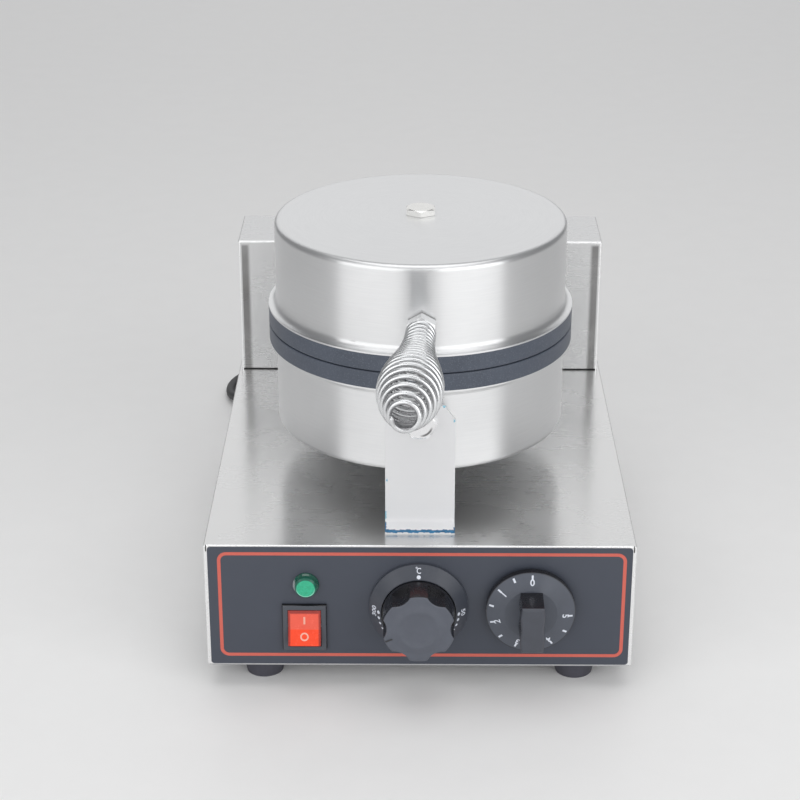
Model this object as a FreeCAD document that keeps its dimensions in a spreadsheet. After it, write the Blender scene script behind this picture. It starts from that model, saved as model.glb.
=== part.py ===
import FreeCAD, Part
import Sketcher
import math
import os

# Waffle cone maker: a box-shaped base with a control panel, a round lower iron on two brackets,
# a round upper iron on a hinge arm, and a barrel-shaped coil handle.
# X runs to the right, Y to the back and Z up; the feet stand on Z = 0.

# Driving sizes in millimetres, angles in degrees and counts.
SIZES = [
    ("base_width", 250),
    ("base_depth", 317),
    ("base_height", 80),
    ("sheet", 1.2),
    ("fold_round", 1.0),
    ("bottom_lip", 12),
    ("bottom_plate_inset", 1.0),
    ("vent_width", 5),
    ("vent_length", 70),
    ("vent_step", 14),
    ("vent_count", 9),
    ("lip_screw_end", 50),
    ("foot_height", 15),
    ("foot_diameter", 27),
    ("foot_tip", 22),
    ("foot_inset_side", 32),
    ("foot_inset_end", 23),
    ("foot_recess", 7),
    ("small_screw", 4),
    ("small_head", 7.2),
    ("small_head_rise", 1.6),
    ("screw_slack", 0.15),
    ("running_slack", 0.06),
    ("seat_gap", 0.3),
    ("panel_side", 2.2),
    ("panel_drop", 0.9),
    ("panel_foot", 1.7),
    ("panel_skin", 0.5),
    ("panel_round", 2),
    ("dial_drop", 39.2),
    ("thermostat_offset", -0.6),
    ("timer_inset", 60.6),
    ("switch_inset", 57.8),
    ("switch_drop", 53),
    ("lamp_inset", 59),
    ("lamp_drop", 25),
    ("spindle_diameter", 6),
    ("spindle_depth", 12),
    ("collar_diameter", 10),
    ("collar_rise", 2),
    ("ring_diameter", 57.5),
    ("ring_mouth", 43.6),
    ("ring_edge", 2.5),
    ("ring_rise", 9),
    ("ring_wall", 1.6),
    ("stat_knob_diameter", 42.8),
    ("stat_knob_face", 42),
    ("stat_knob_back", 3.5),
    ("stat_knob_reach", 28),
    ("stat_lobes", 6),
    ("scallop_diameter", 20),
    ("scallop_depth", 2.6),
    ("stat_body_width", 38),
    ("stat_body_depth", 32),
    ("stat_body_height", 48),
    ("skirt_diameter", 52),
    ("skirt_back", 2),
    ("skirt_edge", 6.4),
    ("skirt_rise", 9.4),
    ("hub_diameter", 30.6),
    ("bar_width", 14.2),
    ("bar_length", 28.8),
    ("bar_reach", 29.5),
    ("bar_round", 1.6),
    ("timer_body_width", 50),
    ("timer_body_depth", 44),
    ("timer_body_height", 56),
    ("switch_width", 26),
    ("switch_height", 30.4),
    ("switch_bezel", 2.5),
    ("switch_round", 1.2),
    ("switch_body_width", 22),
    ("switch_body_height", 27),
    ("switch_body_depth", 22),
    ("rocker_width", 19),
    ("rocker_half", 10.8),
    ("rocker_valley", 5),
    ("rocker_crest", 6.5),
    ("rocker_pivot", 4),
    ("rocker_tilt", 12),
    ("rocker_pin", 2.4),
    ("lamp_diameter", 15.2),
    ("lamp_lip", 0.4),
    ("lamp_rim", 2.4),
    ("lens_diameter", 12.8),
    ("lens_rise", 5.6),
    ("lens_seat", 1),
    ("lamp_body_diameter", 10),
    ("lamp_body_length", 24),
    ("terminal_length", 62),
    ("terminal_width", 22),
    ("terminal_height", 17),
    ("head_setback", 125.4),
    ("head_clearance", 29.3),
    ("drum_diameter", 176),
    ("drum_height", 53.3),
    ("drum_wall", 1.0),
    ("drum_round", 3.5),
    ("flange_round", 4),
    ("crown", 2.4),
    ("plate_diameter", 185),
    ("plate_edge", 10.6),
    ("plate_round", 0.8),
    ("seam_gap", 0.5),
    ("bake_diameter", 166),
    ("bake_recess", 1.6),
    ("waffle_step", 12),
    ("waffle_ridge", 3),
    ("waffle_depth", 1.4),
    ("boss_diameter", 26),
    ("boss_rise", 8.4),
    ("heater_ring", 118),
    ("heater_tube", 8),
    ("heater_rise", 24),
    ("heater_bend", 6),
    ("heater_opening", 36),
    ("clamp_diameter", 136),
    ("clamp_sheet", 2),
    ("blanket_thickness", 24),
    ("blanket_gap", 12),
    ("bolt_thread", 10),
    ("bolt_flats", 17),
    ("bolt_head", 6.4),
    ("cap_head", 3.8),
    ("bolt_grip", 8),
    ("bracket_width", 40.6),
    ("bracket_height", 76.2),
    ("bracket_corner", 8),
    ("bracket_sheet", 2),
    ("bracket_foot", 13),
    ("bracket_standoff", 7.8),
    ("bracket_bolt_height", 66.6),
    ("spacer_diameter", 18),
    ("lead_tube_diameter", 16),
    ("lead_tube_bore", 11),
    ("lead_tube_back", 38),
    ("tower_side", 2),
    ("tower_depth", 54.5),
    ("tower_height", 93.7),
    ("tower_rear_gap", 0.5),
    ("tower_foot_gap", 1),
    ("tower_lip", 10),
    ("notch_side_gap", 5),
    ("notch_drop", 17),
    ("notch_depth", 47),
    ("louvre_width", 3),
    ("louvre_length", 40),
    ("louvre_step", 9),
    ("louvre_count", 7),
    ("hinge_setback", 20),
    ("hinge_height", 84),
    ("shaft_diameter", 10),
    ("arm_width", 66),
    ("arm_sheet", 3),
    ("arm_hub", 22),
    ("saddle_low", 16.8),
    ("saddle_high", 51.8),
    ("arm_shoulder", 12),
    ("arm_screw_spacing", 21),
    ("arm_lead_hole", 9),
    ("bush_diameter", 15),
    ("bush_inset", 2),
    ("bearing_gap", 8),
    ("bearing_sheet", 3),
    ("bearing_width", 30),
    ("bearing_foot", 16),
    ("bearing_top", 8.5),
    ("clip_thickness", 1.2),
    ("clip_diameter", 16),
    ("handle_rise", 27.4),
    ("handle_offset", 0.8),
    ("handle_lean", 4.1),
    ("handle_reach", 92.4),
    ("handle_nut", 9.2),
    ("handle_nut_flats", 16),
    ("coil_turns", 20),
    ("coil_wire", 3),
    ("coil_neck", 18),
    ("coil_belly", 37.6),
    ("coil_mouth", 16),
    ("coil_peak", 0.68),
    ("coil_fullness", 1.27),
    ("spigot_length", 26),
    ("stud_inside", 9),
    ("gland_inset", 33),
    ("gland_height", 32),
    ("gland_flange", 17),
    ("gland_flange_rise", 2.5),
    ("gland_boot", 18),
    ("gland_base", 12.5),
    ("cord_diameter", 7),
    ("cord_step", 7.6),
    ("cord_layer", 7.6),
    ("cord_coil_outer", 50.4),
    ("cord_coil_turns", 6),
    ("cord_coil_setback", 124.85),
    ("lead_out", 26),
    ("lead_side", 57),
    ("lead_down", 85),
    ("lead_along", 34),
    ("tie_width", 9),
    ("tie_thickness", 1),
    ("plug_length", 40),
    ("plug_width", 34),
    ("plug_thickness", 25),
    ("plug_boot", 22),
    ("pin_length", 18),
    ("pin_width", 6.3),
    ("pin_thickness", 1.6),
    ("pin_spread", 7.9),
]

# Places that follow from the driving sizes.
PLACES = [
    ("base_top", "sizes.foot_height + sizes.base_height"),
    ("front", "(sizes.handle_reach - sizes.base_depth) / 2"),
    ("rear", "front + sizes.base_depth"),
    ("shell_floor", "sizes.foot_height + sizes.sheet"),
    ("skin", "front - sizes.panel_skin"),
    ("panel_half", "sizes.base_width / 2 - sizes.panel_side"),
    ("timer_x", "sizes.base_width / 2 - sizes.timer_inset"),
    ("switch_x", "sizes.switch_inset - sizes.base_width / 2"),
    ("lamp_x", "sizes.lamp_inset - sizes.base_width / 2"),
    ("gland_x", "sizes.gland_inset - sizes.base_width / 2"),
    ("tower_width", "sizes.base_width - 2 * sizes.tower_side"),
    ("dial_z", "base_top - sizes.dial_drop"),
    ("switch_z", "base_top - sizes.switch_drop"),
    ("lamp_z", "base_top - sizes.lamp_drop"),
    ("inner_wall", "front + sizes.sheet"),
    ("head_y", "front + sizes.head_setback"),
    ("drum_low", "base_top + sizes.head_clearance"),
    ("seam", "drum_low + sizes.drum_height + sizes.plate_edge"),
    ("drum_top", "sizes.plate_edge + sizes.drum_height"),
    ("clamp_low", "sizes.plate_edge + sizes.boss_rise"),
    ("blanket_low", "clamp_low + sizes.clamp_sheet"),
    ("drum_radius", "sizes.drum_diameter / 2"),
    ("bracket_y", "head_y - drum_radius - sizes.bracket_standoff - sizes.bracket_sheet"),
    ("bracket_rear_y", "2 * head_y - bracket_y"),
    ("bracket_bolt_z", "base_top + sizes.bracket_bolt_height"),
    ("tower_front", "rear - sizes.tower_rear_gap - sizes.tower_depth"),
    ("tower_rear", "tower_front + sizes.tower_depth"),
    ("hinge_y", "tower_front + sizes.hinge_setback"),
    ("hinge_z", "base_top + sizes.hinge_height"),
    ("saddle_y", "head_y + drum_radius - hinge_y"),
    ("saddle_mid", "seam + (sizes.saddle_low + sizes.saddle_high) / 2"),
    ("bearing_x", "sizes.arm_width / 2 + sizes.bearing_gap"),
    ("handle_z", "seam + sizes.handle_rise"),
    ("handle_wall", "head_y - drum_radius"),
    ("gland_y", "rear + sizes.gland_flange_rise + sizes.gland_boot"),
]

doc = FreeCAD.newDocument("waffle_cone_maker")
sizes = doc.addObject("Spreadsheet::Sheet", "sizes")
for row, (alias, value) in enumerate(SIZES, start=1):
    sizes.set(f"A{row}", alias.replace("_", " "))
    sizes.set(f"B{row}", str(value))
    sizes.setAlias(f"B{row}", alias)
places = doc.addObject("Spreadsheet::Sheet", "places")
for row, (alias, formula) in enumerate(PLACES, start=1):
    places.set(f"A{row}", alias.replace("_", " "))
    places.set(f"B{row}", "=" + formula)
    places.setAlias(f"B{row}", alias)
doc.recompute()

Vector = FreeCAD.Vector
UP = Vector(0, 0, 1)
AXES = {
    "x": Vector(1, 0, 0),
    "y": Vector(0, 1, 0),
    "-y": Vector(0, -1, 0),
    "z": UP,
    "-z": Vector(0, 0, -1),
}
NODES = []

# Closeness at which two lengths count as equal, and the share of a hexagon's flats that stays flat
# inside its chamfer.
NEAR = 0.01
FLAT_SHARE = 0.475

# Shares of the lens's diameter: radius of its dome, fall of its shoulder and fall of the dome's edge.
LENS_DOME = 0.42
LENS_SHOULDER = 0.1
LENS_EDGE = 0.02

# Half the grip bar's waist as a share of its width.
BAR_WAIST = 0.45

# Distance of the terminal screws from the back, in widths of the block.
TERMINAL_SETBACK = 2.5

# Fall and inset of a bracket's cut corner, as shares of its nominal size.
CORNER_FALL = 1.15
CORNER_INSET = 0.85

# Distance of the grip's last turn from its tip, in wire diameters.
COIL_TUCK = 0.6

# The lead: share of its sideways run, distance past the first corner and fall, at the two corners of
# its descent; then its rise at the two corners on the floor, and the share left at the way back.
LEAD_DESCENT = ((0.23, 22, 6), (0.67, 36, 19))
LEAD_RISES = (0.3, 0.1)
LEAD_RETURN = 0.42

# The tail: distance along, distance aside and sag below the height it starts or ends at.
TAIL_FIRST = 25
TAIL_SECOND = 50
TAIL_END = 74
TAIL_ASIDE = 2.4
TAIL_SAG = 0.4

# Share of the shorter run that a rounded corner uses, and the turns over which the coil climbs.
CORNER_REACH = 0.45
COIL_CLIMB = 0.5

# Sideways place of the wound coil from the gland, and the strap's room below the cord.
COIL_ASIDE = 20
TIE_ROOM = 0.1

# Walls of the two boots at the cord, the plug's boot below its face, and the plug's corner radius.
GLAND_WALL = 0.9
BOOT_WALL = 1
BOOT_STEP = 3
PLUG_ROUND = 3

# Each pin of the plug: side, height from the middle and turn.
PIN_PLACES = ((-1, 3, 60), (1, 3, -60), (0, -6.5, 0))


def size(name):
    """A driving size as a number."""
    return float(sizes.get(name))


def spot(name):
    """A derived place as a number."""
    return float(places.get(name))


def number(text):
    """The value of an expression on the two sheets."""
    return float(sizes.evalExpression(text))


def bind(item, **texts):
    """Ties properties of an object to expressions."""
    for name, text in texts.items():
        item.setExpression(name, text)
    return item


def place(item, x="0", y="0", z="0", axis="z", turn=0):
    """Turns an object's own Z axis to the given axis, after a turn about it, and ties its origin."""
    spin = FreeCAD.Rotation(UP, turn)
    item.Placement = FreeCAD.Placement(Vector(), FreeCAD.Rotation(UP, AXES[axis]) * spin)
    for letter, text in zip("xyz", (x, y, z)):
        item.setExpression(f"Placement.Base.{letter}", text)
    return item


def node(item, label=None):
    """Marks an object as one sub-part of the product."""
    item.Label = label or item.Name
    NODES.append(item)
    return item


def box(name, length, width, height, x, y, z):
    """A block from its lowest corner."""
    item = bind(doc.addObject("Part::Box", name), Length=length, Width=width, Height=height)
    return place(item, x, y, z)


def rod(name, radius, length, x, y, z, axis="z"):
    """A cylinder from the centre of its first end."""
    item = bind(doc.addObject("Part::Cylinder", name), Radius=radius, Height=length)
    return place(item, x, y, z, axis)


def cut(name, base, *tools):
    """What is left of the base when every tool is taken away."""
    for number_of, tool in enumerate(tools, start=1):
        item = doc.addObject("Part::Cut", name if number_of == len(tools) else f"{name}_cut{number_of}")
        item.Base = base
        item.Tool = tool
        base = item
    return base


def fuse(name, *items):
    """One solid from overlapping or touching pieces."""
    item = doc.addObject("Part::MultiFuse", name)
    item.Shapes = list(items)
    return item


def body(name, x="0", y="0", z="0", axis="z", turn=0):
    """An empty body with its place."""
    return place(doc.addObject("PartDesign::Body", name), x, y, z, axis, turn)


def sketch(owner, plane, offset="0"):
    """An empty sketch on one of the body's own planes, moved along that plane's normal."""
    item = owner.newObject("Sketcher::SketchObject", f"{owner.Name}_sketch")
    planes = {part.Role: part for part in owner.Origin.OriginFeatures}
    item.AttachmentSupport = (planes[plane], [""])
    item.MapMode = "FlatFace"
    item.setExpression("AttachmentOffset.Base.z", offset)
    return item


def fix(item, corner, end, x, y):
    """Ties one point of a sketch to its two distances from the origin."""
    for kind, text in (("DistanceX", x), ("DistanceY", y)):
        index = item.addConstraint(Sketcher.Constraint(kind, -1, 1, corner, end, number(text)))
        item.setExpression(f"Constraints[{index}]", text)


def outline(item, points):
    """A closed outline of straight sides through tied corners."""
    spots = [Vector(number(x), number(y), 0) for x, y in points]
    first = item.GeometryCount
    for here, there in zip(spots, spots[1:] + spots[:1]):
        item.addGeometry(Part.LineSegment(here, there))
    last = item.GeometryCount - 1
    for side in range(first, last + 1):
        following = first if side == last else side + 1
        item.addConstraint(Sketcher.Constraint("Coincident", side, 2, following, 1))
    for side, (x, y) in enumerate(points, start=first):
        fix(item, side, 1, x, y)


def rectangle(item, left, right, low, high):
    """A closed rectangle with tied sides."""
    outline(item, [(left, low), (right, low), (right, high), (left, high)])


def circle(item, radius, x="0", y="0"):
    """A circle with a tied centre and radius."""
    ring = item.addGeometry(Part.Circle(Vector(number(x), number(y), 0), UP, number(radius)))
    fix(item, ring, 3, x, y)
    index = item.addConstraint(Sketcher.Constraint("Radius", ring, number(radius)))
    item.setExpression(f"Constraints[{index}]", radius)


def pad(owner, profile, length, back=False, both=False):
    """Raises a sketch into a solid, along its normal unless back is set."""
    item = owner.newObject("PartDesign::Pad", f"{owner.Name}_pad")
    item.Profile = profile
    item.Reversed = back
    item.SideType = "Symmetric" if both else "One side"
    bind(item, Length=length)
    doc.recompute()
    return item


def pocket(owner, profile, length, back=False):
    """Cuts a sketch into the solid, against its normal unless back is set."""
    before = owner.Shape.Volume
    item = owner.newObject("PartDesign::Pocket", f"{owner.Name}_pocket")
    item.Profile = profile
    item.Reversed = back
    bind(item, Length=length)
    doc.recompute()
    if owner.Shape.Volume > before - NEAR:
        raise RuntimeError(f"a pocket of {owner.Name} cuts nothing")
    return item


def pattern(owner, kind, feature, axis, **texts):
    """Repeats a feature along or about one of the body's own axes."""
    item = owner.newObject(f"PartDesign::{kind}", f"{owner.Name}_pattern")
    item.Originals = [feature]
    axes = {part.Role: part for part in owner.Origin.OriginFeatures}
    if kind == "PolarPattern":
        item.Axis = (axes[axis], [""])
    else:
        item.Direction = (axes[axis], [""])
    bind(item, **texts)
    owner.Tip = item
    doc.recompute()
    return item


def rounded(owner, feature, radius, wanted):
    """Rounds the edges of a feature whose middle and length pass a test."""
    names = []
    for index, edge in enumerate(feature.Shape.Edges, start=1):
        middle = edge.valueAt((edge.FirstParameter + edge.LastParameter) / 2)
        if wanted(edge, middle):
            names.append(f"Edge{index}")
    item = owner.newObject("PartDesign::Fillet", f"{owner.Name}_fillet")
    item.Base = (feature, names)
    bind(item, Radius=radius)
    doc.recompute()
    return item


def turned(name, points, x, y, z, axis="z", turn=0):
    """A body turned about its own Z axis from an outline of radius and height."""
    owner = body(name, x, y, z, axis, turn)
    profile = sketch(owner, "XZ_Plane")
    outline(profile, points)
    item = owner.newObject("PartDesign::Revolution", f"{name}_turn")
    item.Profile = profile
    item.ReferenceAxis = (profile, ["V_Axis"])
    item.Angle = 360
    doc.recompute()
    return owner, item


def solid_node(label, shape):
    """A sub-part whose shape is worked out in this script."""
    item = doc.addObject("Part::Feature", label)
    item.Shape = shape
    return node(item)


def copies(label, pattern_item, spots):
    """A sub-part of separate equal solids, each a copy of one solid moved to a spot."""
    doc.recompute()
    shapes = []
    for x, y, z in spots:
        shape = pattern_item.Shape.copy()
        shape.translate(Vector(x, y, z))
        shapes.append(shape)
    return solid_node(label, Part.makeCompound(shapes))


def is_ring(edge, radius, height, middle):
    """Whether an edge is the circle of that radius at that height of a turned body."""
    return (
        hasattr(edge.Curve, "Radius")
        and abs(edge.Curve.Radius - radius) < NEAR
        and abs(middle.z - height) < NEAR
    )


# Base: folded shell, bottom plate, feet and their screws

LIP_X = "sizes.base_width / 2 - sizes.sheet - sizes.bottom_lip / 2"
LIP_SPOTS = [
    (f"{side} * ({LIP_X})", along)
    for side in (-1, 1)
    for along in ("sizes.lip_screw_end", "sizes.base_depth / 2", "sizes.base_depth - sizes.lip_screw_end")
]
FOOT_X = "sizes.base_width / 2 - sizes.foot_inset_side"
FOOT_SPOTS = [
    (f"{side} * ({FOOT_X})", along)
    for side in (-1, 1)
    for along in ("sizes.foot_inset_end", "sizes.base_depth - sizes.foot_inset_end")
]
SCREW_HOLE = "sizes.small_screw / 2 + sizes.screw_slack"
COLLAR_HOLE = "sizes.collar_diameter / 2 + sizes.screw_slack"
LAMP_HOLE = "sizes.lamp_body_diameter / 2 + sizes.screw_slack"


def panel_holes(item, floor):
    """The holes for lamp, dials and switch, shared by the shell's front and the panel skin."""
    circle(item, LAMP_HOLE, "places.lamp_x", f"places.lamp_z - {floor}")
    circle(item, COLLAR_HOLE, "sizes.thermostat_offset", f"places.dial_z - {floor}")
    circle(item, COLLAR_HOLE, "places.timer_x", f"places.dial_z - {floor}")
    half = "(sizes.switch_body_width / 2 + sizes.screw_slack)"
    tall = "(sizes.switch_body_height / 2 + sizes.screw_slack)"
    rectangle(
        item,
        f"places.switch_x - {half}",
        f"places.switch_x + {half}",
        f"places.switch_z - {tall} - {floor}",
        f"places.switch_z + {tall} - {floor}",
    )


def base_shell():
    """Folded sheet box with an inward lip along its open bottom."""
    owner = body("base_shell", y="places.front", z="places.shell_floor")
    shell_height = "sizes.base_height - sizes.sheet"
    profile = sketch(owner, "XY_Plane")
    rectangle(profile, "-sizes.base_width / 2", "sizes.base_width / 2", "0", "sizes.base_depth")
    block = pad(owner, profile, shell_height)
    rounded(owner, block, "sizes.fold_round", lambda edge, middle: middle.z > NEAR)
    for inset, start, length in (
        ("sizes.sheet", "sizes.sheet", f"{shell_height} - 2 * sizes.sheet"),
        ("(sizes.sheet + sizes.bottom_lip)", "0", "2 * sizes.sheet"),
    ):
        hollow = sketch(owner, "XY_Plane", start)
        side = f"sizes.base_width / 2 - {inset}"
        rectangle(hollow, f"-({side})", side, inset, f"sizes.base_depth - {inset}")
        pocket(owner, hollow, length, back=True)
    front = sketch(owner, "XZ_Plane")
    panel_holes(front, "places.shell_floor")
    pocket(owner, front, "2 * sizes.sheet")
    rear = sketch(owner, "XZ_Plane", "-sizes.base_depth")
    circle(
        rear,
        "sizes.cord_diameter / 2 + sizes.screw_slack",
        "places.gland_x",
        "sizes.gland_height - places.shell_floor",
    )
    pocket(owner, rear, "2 * sizes.sheet", back=True)
    top = sketch(owner, "XY_Plane", shell_height)
    circle(top, "sizes.lead_tube_bore / 2", "0", "sizes.head_setback + sizes.lead_tube_back")
    tube_y = "places.tower_front - places.front + sizes.tower_depth / 2"
    circle(top, "sizes.lead_tube_bore / 2", "0", tube_y)
    pocket(owner, top, "2 * sizes.sheet")
    lip = sketch(owner, "XY_Plane")
    for x, y in LIP_SPOTS:
        circle(lip, SCREW_HOLE, x, y)
    pocket(owner, lip, "2 * sizes.sheet", back=True)
    node(owner)


def bottom_plate():
    """Flat plate under the shell, with vent slots and screw holes."""
    owner = body("bottom_plate", y="places.front", z="sizes.foot_height")
    profile = sketch(owner, "XY_Plane")
    side = "sizes.base_width / 2 - sizes.bottom_plate_inset"
    rectangle(
        profile,
        f"-({side})",
        side,
        "sizes.bottom_plate_inset",
        "sizes.base_depth - sizes.bottom_plate_inset",
    )
    for x, y in LIP_SPOTS + FOOT_SPOTS:
        circle(profile, SCREW_HOLE, x, y)
    pad(owner, profile, "sizes.sheet")
    slot = sketch(owner, "XY_Plane")
    first = "sizes.vent_step * (sizes.vent_count - 1) / 2"
    rectangle(
        slot,
        f"-{first} - sizes.vent_width / 2",
        f"-{first} + sizes.vent_width / 2",
        "(sizes.base_depth - sizes.vent_length) / 2",
        "(sizes.base_depth + sizes.vent_length) / 2",
    )
    vent = pocket(owner, slot, "sizes.sheet", back=True)
    vents = pattern(owner, "LinearPattern", vent, "X_Axis")
    vents.setExpression("Length", "sizes.vent_step * (sizes.vent_count - 1)")
    vents.setExpression("Occurrences", "sizes.vent_count")
    doc.recompute()
    node(owner)


def small_screw(name, length, axis):
    """A pan-head screw whose head sits at the origin and whose shank runs along the axis."""
    opposite = {"z": "-z", "-y": "y"}[axis]
    shank = rod(f"{name}_shank", "sizes.small_screw / 2", length, "0", "0", "0", axis)
    head = rod(f"{name}_head", "sizes.small_head / 2", "sizes.small_head_rise", "0", "0", "0", opposite)
    return fuse(name, shank, head)


def rubber_foot():
    """A tapered rubber foot with a recess for its screw, standing on the floor at the origin."""
    owner, _ = turned(
        "foot_form",
        [
            ("sizes.small_head / 2 + sizes.seat_gap", "0"),
            ("sizes.foot_tip / 2", "0"),
            ("sizes.foot_diameter / 2", "sizes.foot_height - sizes.sheet"),
            ("sizes.foot_diameter / 2", "sizes.foot_height"),
            (SCREW_HOLE, "sizes.foot_height"),
            (SCREW_HOLE, "sizes.foot_recess"),
            ("sizes.small_head / 2 + sizes.seat_gap", "sizes.foot_recess"),
        ],
        "0",
        "0",
        "0",
    )
    return owner


def ground_pieces():
    """Shell, plate, feet and the screws that hold them."""
    base_shell()
    bottom_plate()
    lip_screw = small_screw("lip_screw_form", "3 * sizes.sheet", "z")
    lip_z = size("foot_height")
    copies(
        "bottom_screws",
        lip_screw,
        [(number(x), spot("front") + number(y), lip_z) for x, y in LIP_SPOTS],
    )
    feet = [(number(x), spot("front") + number(y)) for x, y in FOOT_SPOTS]
    copies("rubber_feet", rubber_foot(), [(x, y, 0) for x, y in feet])
    foot_screw = small_screw(
        "foot_screw_form", "sizes.foot_height - sizes.foot_recess + 3 * sizes.sheet", "z"
    )
    copies("foot_screws", foot_screw, [(x, y, size("foot_recess")) for x, y in feet])


# Control panel: skin, switch, lamp, thermostat and timer


def panel_overlay():
    """Thin printed skin on the shell's front, with the panel's holes."""
    owner = body("panel_overlay", y="places.front", z="places.base_top")
    profile = sketch(owner, "XZ_Plane")
    half = "places.panel_half"
    rectangle(profile, f"-{half}", half, "sizes.panel_foot - sizes.base_height", "-sizes.panel_drop")
    panel_holes(profile, "places.base_top")
    skin = pad(owner, profile, "sizes.panel_skin")
    corner, skin_edge = spot("panel_half"), 2 * size("panel_skin")
    rounded(
        owner,
        skin,
        "sizes.panel_round",
        lambda edge, middle: abs(abs(middle.x) - corner) < NEAR and edge.Length < skin_edge,
    )
    node(owner)


def power_switch():
    """Rocker switch: a framed housing with a well, and the rocker that tips on a pin in it."""
    owner = body("switch_housing", "places.switch_x", "places.skin", "places.switch_z")
    frame = sketch(owner, "XZ_Plane")
    wide, tall = "sizes.switch_width / 2", "sizes.switch_height / 2"
    rectangle(frame, f"-{wide}", wide, f"-{tall}", tall)
    bezel = pad(owner, frame, "sizes.switch_bezel")
    rise = -size("switch_bezel")
    rounded(owner, bezel, "sizes.switch_round", lambda edge, middle: middle.y < rise / 2)
    behind = sketch(owner, "XZ_Plane")
    wide, tall = "sizes.switch_body_width / 2", "sizes.switch_body_height / 2"
    rectangle(behind, f"-{wide}", wide, f"-{tall}", tall)
    pad(owner, behind, "sizes.switch_body_depth", back=True)
    well = sketch(owner, "XZ_Plane", "sizes.switch_bezel")
    wide = "sizes.rocker_width / 2 + sizes.seat_gap"
    reach = "sizes.rocker_half * cos(sizes.rocker_tilt) + sizes.rocker_crest * sin(sizes.rocker_tilt)"
    tall = f"{reach} + sizes.seat_gap"
    rectangle(well, f"-({wide})", wide, f"-({tall})", tall)
    pocket(owner, well, "sizes.switch_body_depth / 2 + sizes.switch_bezel")
    node(owner)

    rocker = body(
        "power_rocker",
        "places.switch_x",
        "places.skin - sizes.switch_bezel + sizes.rocker_pivot",
        "places.switch_z",
    )
    profile = sketch(rocker, "YZ_Plane")
    back = "sizes.rocker_pivot - 1"
    outline(
        profile,
        [
            ("-sizes.rocker_valley", "0"),
            ("-sizes.rocker_crest", "sizes.rocker_half"),
            ("-sizes.rocker_crest / 3", "sizes.rocker_half"),
            (back, "sizes.rocker_half / 2"),
            (back, "-sizes.rocker_half / 2"),
            ("-sizes.rocker_crest / 3", "-sizes.rocker_half"),
            ("-sizes.rocker_crest", "-sizes.rocker_half"),
        ],
    )
    circle(profile, "sizes.rocker_pin / 2 + sizes.running_slack")
    pad(rocker, profile, "sizes.rocker_width", both=True)
    rocker.Placement.Rotation = FreeCAD.Rotation(Vector(1, 0, 0), -size("rocker_tilt"))
    node(rocker)
    half_well = "(sizes.rocker_width / 2 + sizes.seat_gap)"
    node(
        rod(
            "rocker_pin",
            "sizes.rocker_pin / 2",
            f"2 * {half_well}",
            f"places.switch_x - {half_well}",
            "places.skin - sizes.switch_bezel + sizes.rocker_pivot",
            "places.switch_z",
            "x",
        )
    )


def indicator_lamp():
    """Panel lamp: a rimmed holder through the panel and a domed lens in it."""
    owner, _ = turned(
        "lamp_holder",
        [
            ("0", "-sizes.lamp_body_length"),
            ("sizes.lamp_body_diameter / 2", "-sizes.lamp_body_length"),
            ("sizes.lamp_body_diameter / 2", "0"),
            ("sizes.lamp_diameter / 2", "0"),
            ("sizes.lamp_diameter / 2", "sizes.lamp_rim / 2"),
            ("sizes.lens_diameter / 2 + sizes.running_slack + sizes.lamp_lip", "sizes.lamp_rim"),
            ("sizes.lens_diameter / 2 + sizes.running_slack", "sizes.lamp_rim"),
            ("sizes.lens_diameter / 2 + sizes.running_slack", "sizes.lens_seat"),
            ("0", "sizes.lens_seat"),
        ],
        "places.lamp_x",
        "places.skin",
        "places.lamp_z",
        "-y",
    )
    node(owner)
    lens, _ = turned(
        "lamp_lens",
        [
            ("0", "sizes.lens_seat"),
            ("sizes.lens_diameter / 2", "sizes.lens_seat"),
            ("sizes.lens_diameter / 2", f"sizes.lens_rise - sizes.lens_diameter * {LENS_SHOULDER}"),
            (
                f"sizes.lens_diameter * {LENS_DOME}",
                f"sizes.lens_rise - sizes.lens_diameter * {LENS_EDGE}",
            ),
            ("0", "sizes.lens_rise"),
        ],
        "places.lamp_x",
        "places.skin",
        "places.lamp_z",
        "-y",
    )
    node(lens)


def dial_body(label, offset, name):
    """A control body behind the panel with a collar through it and a bore for its spindle."""
    wide = f"sizes.{name}_body_width"
    tall = f"sizes.{name}_body_height"
    block = box(
        f"{label}_block",
        wide,
        f"sizes.{name}_body_depth",
        tall,
        f"{offset} - {wide} / 2",
        "places.inner_wall",
        f"places.dial_z - {tall} / 2",
    )
    collar = rod(
        f"{label}_collar",
        "sizes.collar_diameter / 2",
        "sizes.collar_rise + sizes.panel_skin + 2 * sizes.sheet",
        offset,
        "places.skin - sizes.collar_rise",
        "places.dial_z",
        "y",
    )
    bore = rod(
        f"{label}_bore",
        "sizes.spindle_diameter / 2 + sizes.running_slack",
        "sizes.spindle_depth + 1",
        offset,
        "places.skin - sizes.collar_rise",
        "places.dial_z",
        "y",
    )
    node(cut(label, fuse(f"{label}_whole", block, collar), bore))


def spindle(label, offset, reach):
    """A control spindle from its bore to the given reach ahead of the panel skin."""
    node(
        rod(
            label,
            "sizes.spindle_diameter / 2",
            f"{reach} + sizes.spindle_depth - sizes.collar_rise",
            offset,
            f"places.skin - {reach}",
            "places.dial_z",
            "y",
        )
    )


SPINDLE_BORE = "sizes.spindle_diameter / 2 + sizes.running_slack"


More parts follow.
